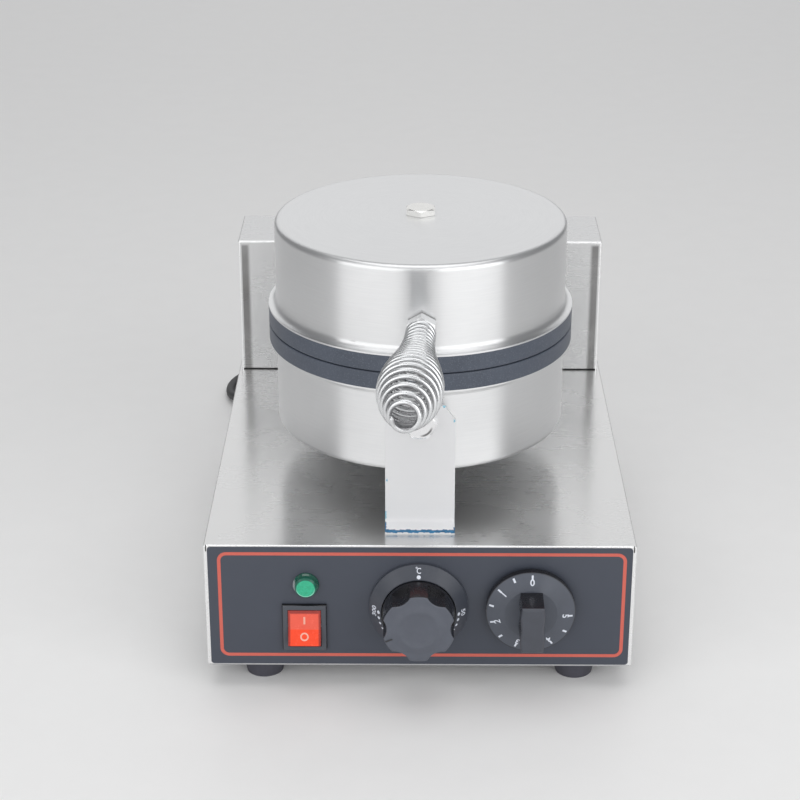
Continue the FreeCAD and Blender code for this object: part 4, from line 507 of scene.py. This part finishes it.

# The base's fold mark is a painted highlight.
BASE_SHEET = brushed_sheet(
    "base_sheet", (0.72, 0.72, 0.718), (0.82, 0.82, 0.818), marks=(painted_fold_highlight, corner_seam)
)
# The tower's marks are a painted dark reflection beside each side fold and a painted highlight on
# the folds.
TOWER_SHEET = brushed_sheet("tower_sheet", marks=(painted_edge_reflection, painted_tower_fold_highlight))
ARM_SHEET = brushed_sheet("arm_sheet", gloss=0.32)
BRACKET = brushed_sheet(
    "bracket_sheet", (0.85, 0.852, 0.862), (0.91, 0.912, 0.920), gloss=0.5, metal=0.8
)
SPUN = spun_steel("spun_steel", HEAD, DRUM_TOP)
BRIGHT_WIRE = polished_wire("bright_wire")
CHROME = bright_metal("bright_fitting", *CHROME_TONES, rough=0.14, speckle=300.0, pits=0.0)
ZINC = bright_metal(
    "zinc_plate", (0.66, 0.656, 0.64), (0.80, 0.796, 0.775), rough=0.12, speckle=200.0, pits=0.0
)
# The nut gets a painted shadow line beside the drum wall.
NUT = bright_metal(
    "nut_plate", *CHROME_TONES, rough=0.14, speckle=300.0, pits=0.0, line=nut_wall_shadow
)
# The bolt head gets a painted shade arc at its lower right.
BOLT_HEAD = bright_metal(
    "bolt_plate",
    (0.80, 0.80, 0.81),
    (0.93, 0.93, 0.94),
    rough=0.12,
    speckle=200.0,
    pits=0.0,
    line=bolt_head_shade,
)
GREY_STEEL = bright_metal(
    "grey_steel", (0.42, 0.42, 0.43), (0.60, 0.61, 0.62), rough=0.3, speckle=500.0
)
BRONZE = bright_metal(
    "bronze", (0.42, 0.27, 0.12), (0.62, 0.44, 0.22), rough=0.28, speckle=700.0
)
BRASS = bright_metal(
    "brass", (0.66, 0.50, 0.22), (0.84, 0.70, 0.38), rough=0.12, speckle=700.0
)
SHEATH = bright_metal(
    "heater_sheath", (0.22, 0.19, 0.17), (0.40, 0.36, 0.33), rough=0.4, speckle=400.0
)
CASTING = coated_casting("coated_casting")
PANEL = moulded_plastic(
    "panel_film",
    (0.044, 0.051, 0.069),
    (0.056, 0.064, 0.086),
    rough=0.42,
    grain=1800.0,
    depth=20.0 * MICRON,
)
BLACK = moulded_plastic(
    "black_plastic", (0.022, 0.023, 0.026), (0.040, 0.041, 0.045), rough=0.40
)
RING_GREY = moulded_plastic(
    "ring_plastic",
    (0.036, 0.042, 0.056),
    (0.054, 0.061, 0.080),
    rough=0.42,
    Coat_Weight=0.4,
    Coat_Roughness=0.32,
)
# Painted shade: the bezel's sides, top and inner walls are near black; only its front face has the
# plastic's grey.
HOUSING = two_tone_plastic(
    "housing_plastic",
    (0.004, 0.004, 0.006),
    (HOUSING_FACE - 0.3 * MM, NO_END, (0.066, 0.074, 0.092)),
)
STAT_KNOB = two_tone_plastic(
    "thermostat_plastic",
    KNOB_SIDE,
    (STAT_FACE - 0.5 * MM, NO_END, (0.092, 0.102, 0.130)),
)
TIMER_KNOB = two_tone_plastic(
    "timer_plastic",
    KNOB_SIDE,
    (6.5 * MM, 9.6 * MM, (0.082, 0.093, 0.120)),
    (BAR_FACE - 1.3 * MM, NO_END, (0.056, 0.062, 0.080)),
)
FITTING = moulded_plastic("white_plastic", (0.70, 0.69, 0.64), (0.86, 0.85, 0.80), rough=0.45)
RUBBER = rubbery("foot_rubber", (0.044, 0.044, 0.056), (0.078, 0.078, 0.100))
CORD = rubbery("cord_sheath", (0.012, 0.012, 0.013), (0.030, 0.030, 0.032), rough=0.45)
RED = rocker_plastic("red_plastic")
GREEN = pebbled_lens("green_lens")
COLLAR = lens_collar("lens_collar")
WOOL = wool("mineral_wool")
BORDER_INK = print_ink("border_ink", (0.52, 0.095, 0.068), (0.64, 0.135, 0.100))
WHITE_INK = print_ink("white_ink", (0.62, 0.66, 0.74), (0.76, 0.79, 0.86))
ROCKER_INK = print_ink("rocker_ink", (0.78, 0.36, 0.28), (0.90, 0.48, 0.38))
FILM = clouded_film("blue_film", (0.0, 0.010, 0.040), (0.035, 0.260, 0.520), grain=330.0)
PALE_FILM = clouded_film("pale_film", (0.16, 0.42, 0.56), (0.34, 0.62, 0.72), grain=700.0)

NODE_MATERIALS = {
    "base_shell": BASE_SHEET,
    "tower_shell": TOWER_SHEET,
    "tower_back": ARM_SHEET,
    "front_bracket": BRACKET,
    "rear_bracket": BRACKET,
    "lower_drum": SPUN,
    "upper_drum": SPUN,
    "lower_plate": CASTING,
    "upper_plate": CASTING,
    "upper_bolt": ZINC,
    "lower_bolt": ZINC,
    "front_bracket_bolt": BOLT_HEAD,
    "rear_bracket_bolt": ZINC,
    "bracket_spacers": ZINC,
    "handle_nut": NUT,
    "handle_stud": CHROME,
    "lamp_holder": COLLAR,
    "shaft_clips": GREY_STEEL,
    "arm_screws": ZINC,
    "tower_screws": ZINC,
    "bottom_screws": ZINC,
    "foot_screws": ZINC,
    "bottom_plate": GREY_STEEL,
    "left_bearing": GREY_STEEL,
    "right_bearing": GREY_STEEL,
    "hinge_arm": ARM_SHEET,
    "hinge_shaft": CHROME,
    "lead_tube": GREY_STEEL,
    "lower_clamp_plate": GREY_STEEL,
    "upper_clamp_plate": GREY_STEEL,
    "thermostat_spindle": GREY_STEEL,
    "timer_spindle": GREY_STEEL,
    "rocker_pin": GREY_STEEL,
    "lower_heater": SHEATH,
    "upper_heater": SHEATH,
    "lower_insulation": WOOL,
    "upper_insulation": WOOL,
    "hinge_bushes": BRONZE,
    "panel_overlay": PANEL,
    "thermostat_knob": STAT_KNOB,
    "thermostat_ring": RING_GREY,
    "timer_knob": TIMER_KNOB,
    "switch_housing": HOUSING,
    "cord_gland": RUBBER,
    "cord_tie": RUBBER,
    "plug_body": CORD,
    "thermostat_body": BLACK,
    "timer_body": BLACK,
    "terminal_block": FITTING,
    "power_rocker": RED,
    "lamp_lens": GREEN,
    "rubber_feet": RUBBER,
    "plug_pins": BRASS,
}
for node_name, material in NODE_MATERIALS.items():
    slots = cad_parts[node_name].data.materials
    slots.clear()
    slots.append(material)


# Camera, floor and lights

IMAGE_SIDE = 800
FOCAL_PIXELS = 2017.1
SENSOR = 36.0
CAMERA_PLACE = (-3.36 * MM, BASE_LOW[1] - 1028.8 * MM, BASE_HIGH[2] + 542.9 * MM)
CAMERA_TURN = (math.radians(66.32), 0.0, math.radians(0.45))
FLOOR_HALF = 6.0
LIGHTS_AIM = np.array([0.0, 0.0, 0.16])
# Name, place, width and height, and brightness of each soft box.
SOFT_BOXES = [
    ("soft_left", (-1.005, -1.30, 0.70), (1.7, 1.5), 1.48),
    ("soft_right", (1.015, -1.29, 0.70), (1.7, 1.5), 1.8),
    ("soft_front", (0.0, -1.42, 0.70), (0.34, 1.5), 0.55),
    ("soft_back", (0.0, 2.40, 1.35), (3.6, 1.9), 0.72),
    ("soft_top", (0.0, -0.15, 2.20), (2.2, 1.8), 1.4),
]


def camera():
    """The camera at the photograph's place, without shift or depth of field."""
    data = bpy.data.cameras.new("camera")
    data.sensor_width = SENSOR
    data.lens = FOCAL_PIXELS * SENSOR / IMAGE_SIDE
    data.clip_end = 50.0
    item = bpy.data.objects.new("camera", data)
    item.location = CAMERA_PLACE
    item.rotation_euler = CAMERA_TURN
    bpy.context.scene.collection.objects.link(item)
    bpy.context.scene.camera = item


def studio():
    """Pale floor, pale world and soft boxes in front, behind and above."""
    paint = Paint("floor_paper", Roughness=0.9)
    x, y, z = paint.place()
    fibre = paint.noise(paint.vector(x, y, z), 40.0, 4.0, 0.6)
    paint.show(Base_Color=paint.colour(fibre, (0.86, 0.857, 0.853), (0.89, 0.887, 0.883)))
    square = [(side * FLOOR_HALF, end * FLOOR_HALF, 0) for side, end in SQUARE]
    mesh = bpy.data.meshes.new("floor")
    mesh.from_pydata(square, [], [(0, 1, 2, 3)])
    mesh.materials.append(paint.material)
    floor = bpy.data.objects.new("floor", mesh)
    bpy.context.scene.collection.objects.link(floor)

    world = bpy.data.worlds.new("studio")
    world.use_nodes = True
    sky = world.node_tree.nodes["Background"].inputs
    sky["Color"].default_value = (0.92, 0.93, 0.95, 1.0)
    sky["Strength"].default_value = 0.28
    bpy.context.scene.world = world
    bpy.context.scene.view_settings.view_transform = "Standard"

    for name, where, (wide, tall), brightness in SOFT_BOXES:
        data = bpy.data.lights.new(name, "AREA")
        data.shape = "RECTANGLE"
        data.size, data.size_y, data.energy = wide, tall, brightness * wide * tall * math.pi
        item = bpy.data.objects.new(name, data)
        item.location = where
        aim = LIGHTS_AIM - np.array(where)
        away = math.hypot(aim[0], aim[1])
        item.rotation_euler = (math.atan2(away, -aim[2]), 0.0, math.atan2(-aim[0], aim[1]))
        bpy.context.scene.collection.objects.link(item)


# Handle coil

HANDLE_LEAN = math.radians(4.1)
HANDLE_OFFSET = 0.8 * MM
HANDLE_HEIGHT = BASE_HIGH[2] + 120.6 * MM
HANDLE_WALL = HEAD[1] - HEAD_WALL
COIL_TURNS = 20
COIL_WIRE = 3.0 * MM
COIL_NECK, COIL_BELLY, COIL_MOUTH = 9.0 * MM, 18.8 * MM, 8.0 * MM
BELLY_AT, BELLY_POWER = 0.68, 1.27
NUT_FACE = 9.2 * MM
NUT_GAP = 0.15 * MM
COIL_BEFORE_BASE = 92.4 * MM


def handle_frame():
    """The point where the handle leaves the drum, and its axis, side and up directions."""
    axis = np.array([-math.sin(HANDLE_LEAN), -math.cos(HANDLE_LEAN), 0.0])
    up = np.array([0.0, 0.0, 1.0])
    return np.array([HANDLE_OFFSET, HANDLE_WALL, HANDLE_HEIGHT]), axis, np.cross(axis, up), up


def tube(path, radius, reference, sides=14):
    """Rings about a path: path + radius (cos a n + sin a b).

    n is the reference direction made square to the path, and b is square to both.
    """
    along = unit(np.gradient(path, axis=0))
    across = unit(reference - along * (along @ reference)[:, None])
    third = np.cross(along, across)
    angle = np.linspace(0.0, 2 * np.pi, sides, endpoint=False)[None, :, None]
    ring = np.cos(angle) * across[:, None] + np.sin(angle) * third[:, None]
    return path[:, None] + np.asarray(radius)[:, None, None] * ring


def coil_path(turn):
    """Barrel helix: r(u) = neck + (belly - neck) sin(pi u^p)^q + (mouth - neck) u, pitch constant.

    The power p puts the belly at its share of the length. These radii are to the wire's outside.
    """
    start, axis, side, up = handle_frame()
    share = np.clip(turn / COIL_TURNS, 0.0, 1.0)
    power = math.log(0.5) / math.log(BELLY_AT)
    belly = (COIL_BELLY - COIL_NECK) * np.sin(np.pi * share**power) ** BELLY_POWER
    radius = COIL_NECK + belly + (COIL_MOUTH - COIL_NECK) * share
    radius = (radius - COIL_WIRE / 2)[:, None]
    first = NUT_FACE + COIL_WIRE / 2 + NUT_GAP
    reach = HANDLE_WALL - BASE_LOW[1] + COIL_BEFORE_BASE
    last = reach / math.cos(HANDLE_LEAN) - 0.6 * COIL_WIRE
    angle = (2 * np.pi * turn)[:, None]
    along = (first + turn / COIL_TURNS * (last - first))[:, None]
    return start + along * axis + radius * (np.cos(angle) * side + np.sin(angle) * up)


def handle_coil():
    """One wire wound in a barrel, with rounded ends.

    The attribute "inside" is 1 on the wire's side towards the handle's axis and -1 on its outer
    side.
    """
    per_turn, blunt = 40, 0.02
    start, axis = handle_frame()[:2]
    path = coil_path(np.linspace(0.0, COIL_TURNS, COIL_TURNS * per_turn + 1))
    bend = np.linspace(0.0, np.pi / 2, 6)[:-1]
    radius = COIL_WIRE / 2
    lead = unit(path[0] - path[1])
    tail = unit(path[-1] - path[-2])
    first = path[0] + lead * (radius * np.cos(bend))[:, None]
    last = path[-1] + tail * (radius * np.sin(bend))[:, None]
    shrink = np.concatenate([np.sin(bend), np.ones(len(path)), np.cos(bend[1:])])
    path = np.concatenate([first, path, last[1:]])
    rings = tube(path, radius * np.maximum(shrink, blunt), axis)
    rows, sides = rings.shape[:2]
    ends = [list(range(sides))[::-1], list(range((rows - 1) * sides, rows * sides))]
    faces = [face[::-1] for face in grid_faces(rows, sides, round_columns=True)] + ends
    piece = mesh_piece("grip_coil", rings, faces, BRIGHT_WIRE, "lid")
    from_start = path - start
    outward = unit(from_start - (from_start @ axis)[:, None] * axis)
    inside = -np.sum(unit(rings - path[:, None]) * outward[:, None], axis=2)
    attribute = piece.data.attributes.new("inside", "FLOAT", "POINT")
    attribute.data.foreach_set("value", inside.ravel())
    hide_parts("handle_coil")


# Printed marks


def rounded_ribbon(width, height, corner, line, steps=10):
    """A closed strip along a rounded rectangle: its outer and inner edge as plane points."""
    turn = np.linspace(0.0, np.pi / 2, steps)
    centres = [(1, 1), (-1, 1), (-1, -1), (1, -1)]
    angle = np.concatenate([turn + quarter * np.pi / 2 for quarter in range(4)])
    inset = np.array([width / 2 - corner, height / 2 - corner])
    middle_of = np.repeat(np.array(centres, float) * inset, steps, axis=0)
    ray = np.stack([np.cos(angle), np.sin(angle)], axis=1)
    return middle_of + corner * ray, middle_of + (corner - line) * ray


def panel_border():
    """The red line printed round the panel, a little proud of the skin."""
    outer, inner = rounded_ribbon(
        width=236.6 * MM, height=68.9 * MM, corner=5.4 * MM, line=2.0 * MM
    )
    centre = np.array([1.15 * MM, BASE_HIGH[2] - 38.6 * MM])
    proud, seat = SKIN_Y - 0.06 * MM, SKIN_Y - 0.005 * MM
    rails = [(outer, seat), (outer, proud), (inner, proud), (inner, seat)]
    grid = np.stack([np.insert(edge + centre, 1, depth, axis=1) for edge, depth in rails], axis=1)
    faces = grid_faces(*grid.shape[:2], round_rows=True)
    mesh_piece("panel_border", grid, faces, BORDER_INK, "base", smooth=False)


def has_area(x, y):
    """Whether a flat polygon runs anticlockwise round some area."""
    return x @ np.roll(y, -1) > y @ np.roll(x, -1)


def text_shape(text, size, bold=0.02):
    """Flat letters centred on the origin, thickened by bold times their size: points and faces.

    Their triangles are evened out, because slivers would tilt on a curved ring. Faces without area
    are left out.
    """
    curve = bpy.data.curves.new("letters", "FONT")
    curve.body, curve.size, curve.offset = text, size, bold * size
    curve.align_x, curve.align_y = "CENTER", "CENTER"
    holder = bpy.data.objects.new("letters", curve)
    bpy.context.scene.collection.objects.link(holder)
    graph = bpy.context.evaluated_depsgraph_get()
    mesh = bpy.data.meshes.new_from_object(holder.evaluated_get(graph))
    form = bmesh.new()
    form.from_mesh(mesh)
    bmesh.ops.beautify_fill(form, faces=form.faces[:], edges=form.edges[:])
    form.to_mesh(mesh)
    form.free()
    points = np.empty(len(mesh.vertices) * 3)
    mesh.vertices.foreach_get("co", points)
    flat = points.reshape(-1, 3)[:, :2]
    x, y = flat.T
    faces = [list(face.vertices) for face in mesh.polygons]
    faces = [face for face in faces if has_area(x[face], y[face])]
    bpy.data.objects.remove(holder)
    bpy.data.curves.remove(curve)
    bpy.data.meshes.remove(mesh)
    return flat, faces


def disc_shape(radius, sides=20):
    """A flat round dot."""
    angle = np.linspace(0.0, 2 * np.pi, sides, endpoint=False)
    return radius * np.stack([np.cos(angle), np.sin(angle)], axis=1), [list(range(sides))]


def ring_shape(outer, inner, sides=28):
    """A flat ring."""
    ray = disc_shape(1.0, sides)[0]
    near = np.arange(sides)
    far = np.roll(near, -1)
    faces = np.stack([near, far, sides + far, sides + near], axis=1).tolist()
    return np.concatenate([ray * outer, ray * inner]), faces


def bar_shape(wide, tall):
    """A flat bar."""
    half = np.array([wide, tall]) / 2
    return np.array(SQUARE) * half, [[0, 1, 2, 3]]


def bent_on_cone(points, clock, radius, centre, low, high, proud=0.05 * MM):
    """Lays flat marks on a cone ring with its axis along -Y.

    Across goes round clockwise and up goes outwards. low and high are (radius, rise off the skin) of
    the cone's outer and inner edge.
    """
    slope = (high[1] - low[1]) / (low[0] - high[0])
    out = radius + points[:, 1] / math.hypot(1.0, slope)
    turn = math.radians(clock) + points[:, 0] / out
    rise = low[1] + (low[0] - out) * slope + proud
    x, z = centre[0] + out * np.sin(turn), centre[2] + out * np.cos(turn)
    return np.stack([x, SKIN_Y - rise, z], axis=1)


def gather(shapes):
    """Joins several (points, faces) into one pair."""
    points, faces, count = [], [], 0
    for part, polygons in shapes:
        points.append(part)
        faces += [[corner + count for corner in face] for face in polygons]
        count += len(part)
    return np.concatenate(points), faces


def cone_marks(name, body, centre, low, high, marks):
    """Marks on a cone ring: each a flat shape, its clock angle and its radius."""
    shapes = [
        (bent_on_cone(points, clock, radius, centre, low, high), faces)
        for (points, faces), clock, radius in marks
    ]
    points, faces = gather(shapes)
    mesh_piece(name, points, faces, WHITE_INK, body, smooth=False)


def thermostat_marks():
    """Degrees mark with its dot at the top, and dots from 50 to 300 round the lower half.

    The dots are smallest at the bottom.
    """
    low, high = (28.75 * MM, 2.5 * MM), (22.33 * MM, 9.0 * MM)
    letter, letter_faces = text_shape("C", 4.9 * MM, 0.01)
    # Each mark is a flat shape with its clock angle in degrees and its radius.
    marks = [
        ((letter * np.array([0.8, 1.0]), letter_faces), 0.2, 26.0 * MM),
        (text_shape("°", 4.0 * MM, 0.01), -2.6, 26.6 * MM),
        (disc_shape(1.2 * MM), 0.0, 23.4 * MM),
        (text_shape("50", 4.5 * MM), 91.7, 25.8 * MM),
        (text_shape("300", 4.5 * MM), 270.0, 25.8 * MM),
    ]
    first, last, dots = 91.5, 271.0, 21
    for clock in np.linspace(first, last, dots):
        share = abs(2 * clock - first - last) / (last - first)
        marks.append((disc_shape((0.35 + 0.75 * share**2) * MM), clock, 23.3 * MM))
    cone_marks("thermostat_marks", "base", STAT, low, high, marks)


def timer_marks():
    """Minutes 0 to 5 that run anticlockwise round the skirt, with half-minute strokes between."""
    low, high = (26.0 * MM, 6.4 * MM), (15.3 * MM, 9.4 * MM)
    zero, per_minute = 1.2, -53.3
    marks = []
    for half_minutes in range(11):
        clock = zero + per_minute * half_minutes / 2
        if half_minutes % 2:
            marks.append((bar_shape(1.25 * MM, 2.8 * MM), clock, 23.3 * MM))
        else:
            marks.append((text_shape(str(half_minutes // 2), 5.4 * MM), clock, 20.0 * MM))
            marks.append((bar_shape(1.1 * MM, 2.6 * MM), clock, 23.1 * MM))
    cone_marks("timer_marks", "timer_dial", TIMER, low, high, marks)


# Rocker marks

ROCKER_TILT = math.radians(12.0)


def rocker_marks():
    """The stroke and the ring on the two halves of the rocker, each lying on its own slope."""
    pivot = np.array([SWITCH[0], SKIN_Y + 1.5 * MM, SWITCH[2]])
    valley, crest, proud = 5.0 * MM, 6.5 * MM, 0.05 * MM
    stroke, ring = bar_shape(1.1 * MM, 4.7 * MM), ring_shape(2.5 * MM, 1.6 * MM)
    shapes = []
    for (flat, faces), lift in ((stroke, 4.5 * MM), (ring, -5.4 * MM)):
        z = flat[:, 1] + lift
        y = -valley - (crest - valley) * np.abs(z) / ROCKER_HALF - proud
        turned_y = y * math.cos(ROCKER_TILT) + z * math.sin(ROCKER_TILT)
        turned_z = -y * math.sin(ROCKER_TILT) + z * math.cos(ROCKER_TILT)
        shapes.append((np.stack([flat[:, 0], turned_y, turned_z], axis=1) + pivot, faces))
    points, faces = gather(shapes)
    mesh_piece(
        "rocker_marks", points, faces, ROCKER_INK, "switch_rocker", smooth=False
    )


# Knob face and protective film


def turned_disc(name, centre, profile, material, body, sides=72):
    """A profile of (radius, rise off the panel) turned about an axis along -Y.

    Its last point lies on the axis.
    """
    rim, pole = np.array(profile[:-1]), profile[-1]
    angle = np.linspace(0.0, 2 * np.pi, sides, endpoint=False)[:, None]
    x = centre[0] + np.cos(angle) * rim[:, 0]
    z = centre[2] + np.sin(angle) * rim[:, 0]
    y = np.broadcast_to(SKIN_Y - rim[:, 1], x.shape)
    grid = np.stack([x, y, z], axis=2).reshape(-1, 3)
    points = np.concatenate([grid, [(centre[0], SKIN_Y - pole[1], centre[2])]])
    inner = np.arange(sides) * len(rim) + len(rim) - 1
    cap = np.stack([inner, np.roll(inner, -1), np.full(sides, len(grid))], axis=1).tolist()
    faces = grid_faces(sides, len(rim), round_rows=True) + cap
    return mesh_piece(name, points, faces, material, body)


def knob_face():
    """Shallow dish in a gently swelling face, and the pointer notch at the edge, a flat black strip
    of painted shade.

    The rise is as sin(pi s/2)^2 up to the rim R, with s from 0 at the edge to 1, and as (r/R)^4
    inside it.
    """
    face, rim, outer = STAT_FACE, 11.3 * MM, 17.0 * MM
    rise, skin = 1.0 * MM, 0.05 * MM
    swell = [
        (outer - (outer - rim) * s, face + rise * math.sin(s * math.pi / 2) ** 2)
        for s in np.linspace(0, 1, 9)
    ]
    dish = [(rim * s, face + skin + (rise - skin) * s**4) for s in np.linspace(0.97, 0.0, 14)]
    profile = [(outer + 0.4 * MM, face - 0.03 * MM), *swell, *dish]
    turned_disc("knob_face_disc", STAT, profile, STAT_KNOB, "thermostat_dial")
    # The notch is painted shade: a flat black strip just proud of the face.
    flat, faces = bar_shape(4.4 * MM, 1.0 * MM)
    left, below, tilt = 17.0 * MM, 7.0 * MM, math.radians(25.0)
    x = STAT[0] - left + flat[:, 0] * math.cos(tilt) - flat[:, 1] * math.sin(tilt)
    z = STAT[2] - below + flat[:, 0] * math.sin(tilt) + flat[:, 1] * math.cos(tilt)
    notch = np.stack([x, np.full_like(x, SKIN_Y - face - 0.25 * MM), z], axis=1)
    mesh_piece("knob_notch", notch, faces, BLACK, "thermostat_dial", smooth=False)


FILM_THICK = 0.08 * MM


def film_edge(name, start, end, inward, wide, out=(0.0, 0.0, 1.0), material=FILM, steps=90):
    """Torn strip of film along an edge, which it laps over.

    Its inner side wanders as a sum of sines.
    """
    share = np.linspace(0.0, 1.0, steps)
    waves = np.sin(share * 61.0) * 0.28 + np.sin(share * 143.0 + 1.3) * 0.22
    waves = waves + np.sin(share * 23.0 + 0.4) * 0.3
    width = wide * np.clip(0.85 + 0.6 * waves, 0.5, 1.4)
    along = np.array(start) + share[:, None] * (np.array(end) - np.array(start))
    inward, up = np.array(inward, float), np.array(out)
    lap = 0.5 * wide * np.clip(0.8 + 0.7 * waves[::-1], 0.5, 1.4)
    rows = [
        along - inward * FILM_THICK - up * lap[:, None],
        along - inward * FILM_THICK + up * FILM_THICK,
        along + inward * width[:, None] * 0.6 + up * FILM_THICK * 1.6,
        along + inward * width[:, None] + up * FILM_THICK * 0.4,
    ]
    grid = np.stack(rows, axis=1)
    mesh_piece(name, grid, grid_faces(*grid.shape[:2]), material, "base")


def film_fleck(name, where, wide, tall, turn, sides=18):
    """A small torn flake on the bracket's front.

    r(a) = 1 + 0.3 sin(3a + turn) + 0.2 sin(5a + 2 turn), stretched.
    """
    angle = np.linspace(0.0, 2 * np.pi, sides, endpoint=False)
    radius = 1.0 + 0.3 * np.sin(3 * angle + turn) + 0.2 * np.sin(5 * angle + 2 * turn)
    x = where[0] + wide / 2 * radius * np.cos(angle)
    z = where[1] + tall / 2 * radius * np.sin(angle)
    y = np.full_like(x, UPRIGHT_Y - FILM_THICK)
    points, faces = np.stack([x, y, z], axis=1), [list(range(sides))]
    mesh_piece(name, points, faces, PALE_FILM, "base")


def film_remains():
    """What is left of the blue protective film on the front bracket.

    It runs along the foot's front edge and up at the corners.
    """
    foot_top = BASE_HIGH[2] + BRACKET_SHEET
    low, high = BRACKET_LOW, BRACKET_HIGH
    left, right = np.array([low[0], low[1], foot_top]), np.array([high[0], low[1], foot_top])
    back, front = np.array([0.0, 1.0, 0.0]), (0.0, -1.0, 0.0)
    film_edge("film_foot", left, right, back, 2.2 * MM)
    film_edge("film_left", left + back * 13.0 * MM, left, (1, 0, 0), 0.8 * MM, steps=40)
    upright = np.array([low[0], UPRIGHT_Y, foot_top])
    rise = np.array([0.0, 0.0, 6.5 * MM])
    film_edge("film_rise", upright + rise, upright, (1, 0, 0), 0.8 * MM, front, PALE_FILM, 30)
    film_edge("film_right", right, right + back * 5.0 * MM, (-1, 0, 0), 0.8 * MM, steps=30)
    top = high[2]
    # Place on the upright, width and height of each fleck.
    flecks = [
        ((high[0] - 6.6 * MM, top - 0.6 * MM), 1.8 * MM, 1.6 * MM),
        ((high[0] - 0.7 * MM, top - 9.6 * MM), 1.0 * MM, 1.8 * MM),
        ((low[0] + 1.0 * MM, BASE_HIGH[2] + 28.6 * MM), 0.9 * MM, 1.7 * MM),
        ((low[0] + 20.5 * MM, top - 20.5 * MM), 1.6 * MM, 0.9 * MM),
    ]
    for index, (where, wide, tall) in enumerate(flecks):
        film_fleck(f"film_fleck_{index}", where, wide, tall, index * 1.7)


# Mains lead

CORD_DIAMETER = 7.0 * MM
# Control points of the free run and of the tail, in millimetres.
LEAD_ROUTE = [
    (-92, 225.2, 32),
    (-92, 251.2, 32),
    (-105.1, 273.2, 26),
    (-130.2, 287.2, 13),
    (-149, 310.2, 3.8),
    (-149, 344.2, 3.6),
    (-115.9, 379.95, 4.05),
    (-79, 379.95, 4.6),
]
TAIL_ROUTE = [(-65, 379.95, 12.2), (-40, 379.95, 11.8), (-15, 377.55, 12.1), (9, 377.55, 12.5)]
HANK_MIDDLE = (-72, 329.55)
HANK_RADIUS = 50.4
HANK_PITCH = 7.6
HANK_FLOOR = 4.6
# The curve runs inside its control points by this much.
CONTROL_STRETCH = 1.0194


def cord_coil_points(turns=6, per_turn=16):
    """Spiral in, up one layer and out again, clockwise, as control points in millimetres.

    r = radius - pitch (n/2 - |t - n/2|), with t in turns up to n.
    """
    turn = np.arange(1, turns * per_turn) / per_turn
    wound = turns / 2 - np.abs(turn - turns / 2)
    radius = (HANK_RADIUS - HANK_PITCH * wound) * CONTROL_STRETCH
    angle = np.pi / 2 - 2 * np.pi * turn
    climb = np.clip(turn - turns / 2 + 0.25, 0.0, 0.5) / 0.5
    height = HANK_FLOOR + HANK_PITCH * climb * climb * (3 - 2 * climb)
    x = HANK_MIDDLE[0] + radius * np.cos(angle)
    y = HANK_MIDDLE[1] + radius * np.sin(angle)
    return np.stack([x, y, height], axis=1)


def mains_lead():
    """The lead as one smooth curve: free run, wound coil and tail."""
    route = np.concatenate([LEAD_ROUTE, cord_coil_points(), TAIL_ROUTE]) * MM
    curve = bpy.data.curves.new("mains_lead", "CURVE")
    curve.dimensions = "3D"
    spline = curve.splines.new("NURBS")
    spline.points.add(len(route) - 1)
    spline.points.foreach_set("co", np.insert(route, 3, 1.0, axis=1).ravel())
    spline.order_u = 3
    spline.use_endpoint_u = True
    spline.resolution_u = 6
    curve.bevel_depth = CORD_DIAMETER / 2
    curve.bevel_resolution = 5
    curve.use_fill_caps = True
    curve.materials.append(CORD)
    piece = bpy.data.objects.new("mains_lead", curve)
    bpy.context.scene.collection.objects.link(piece)
    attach(piece, "base")
    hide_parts("cord_lead", "cord_coil", "cord_tail")


camera()
studio()
mains_lead()
handle_coil()
panel_border()
thermostat_marks()
timer_marks()
rocker_marks()
knob_face()
film_remains()
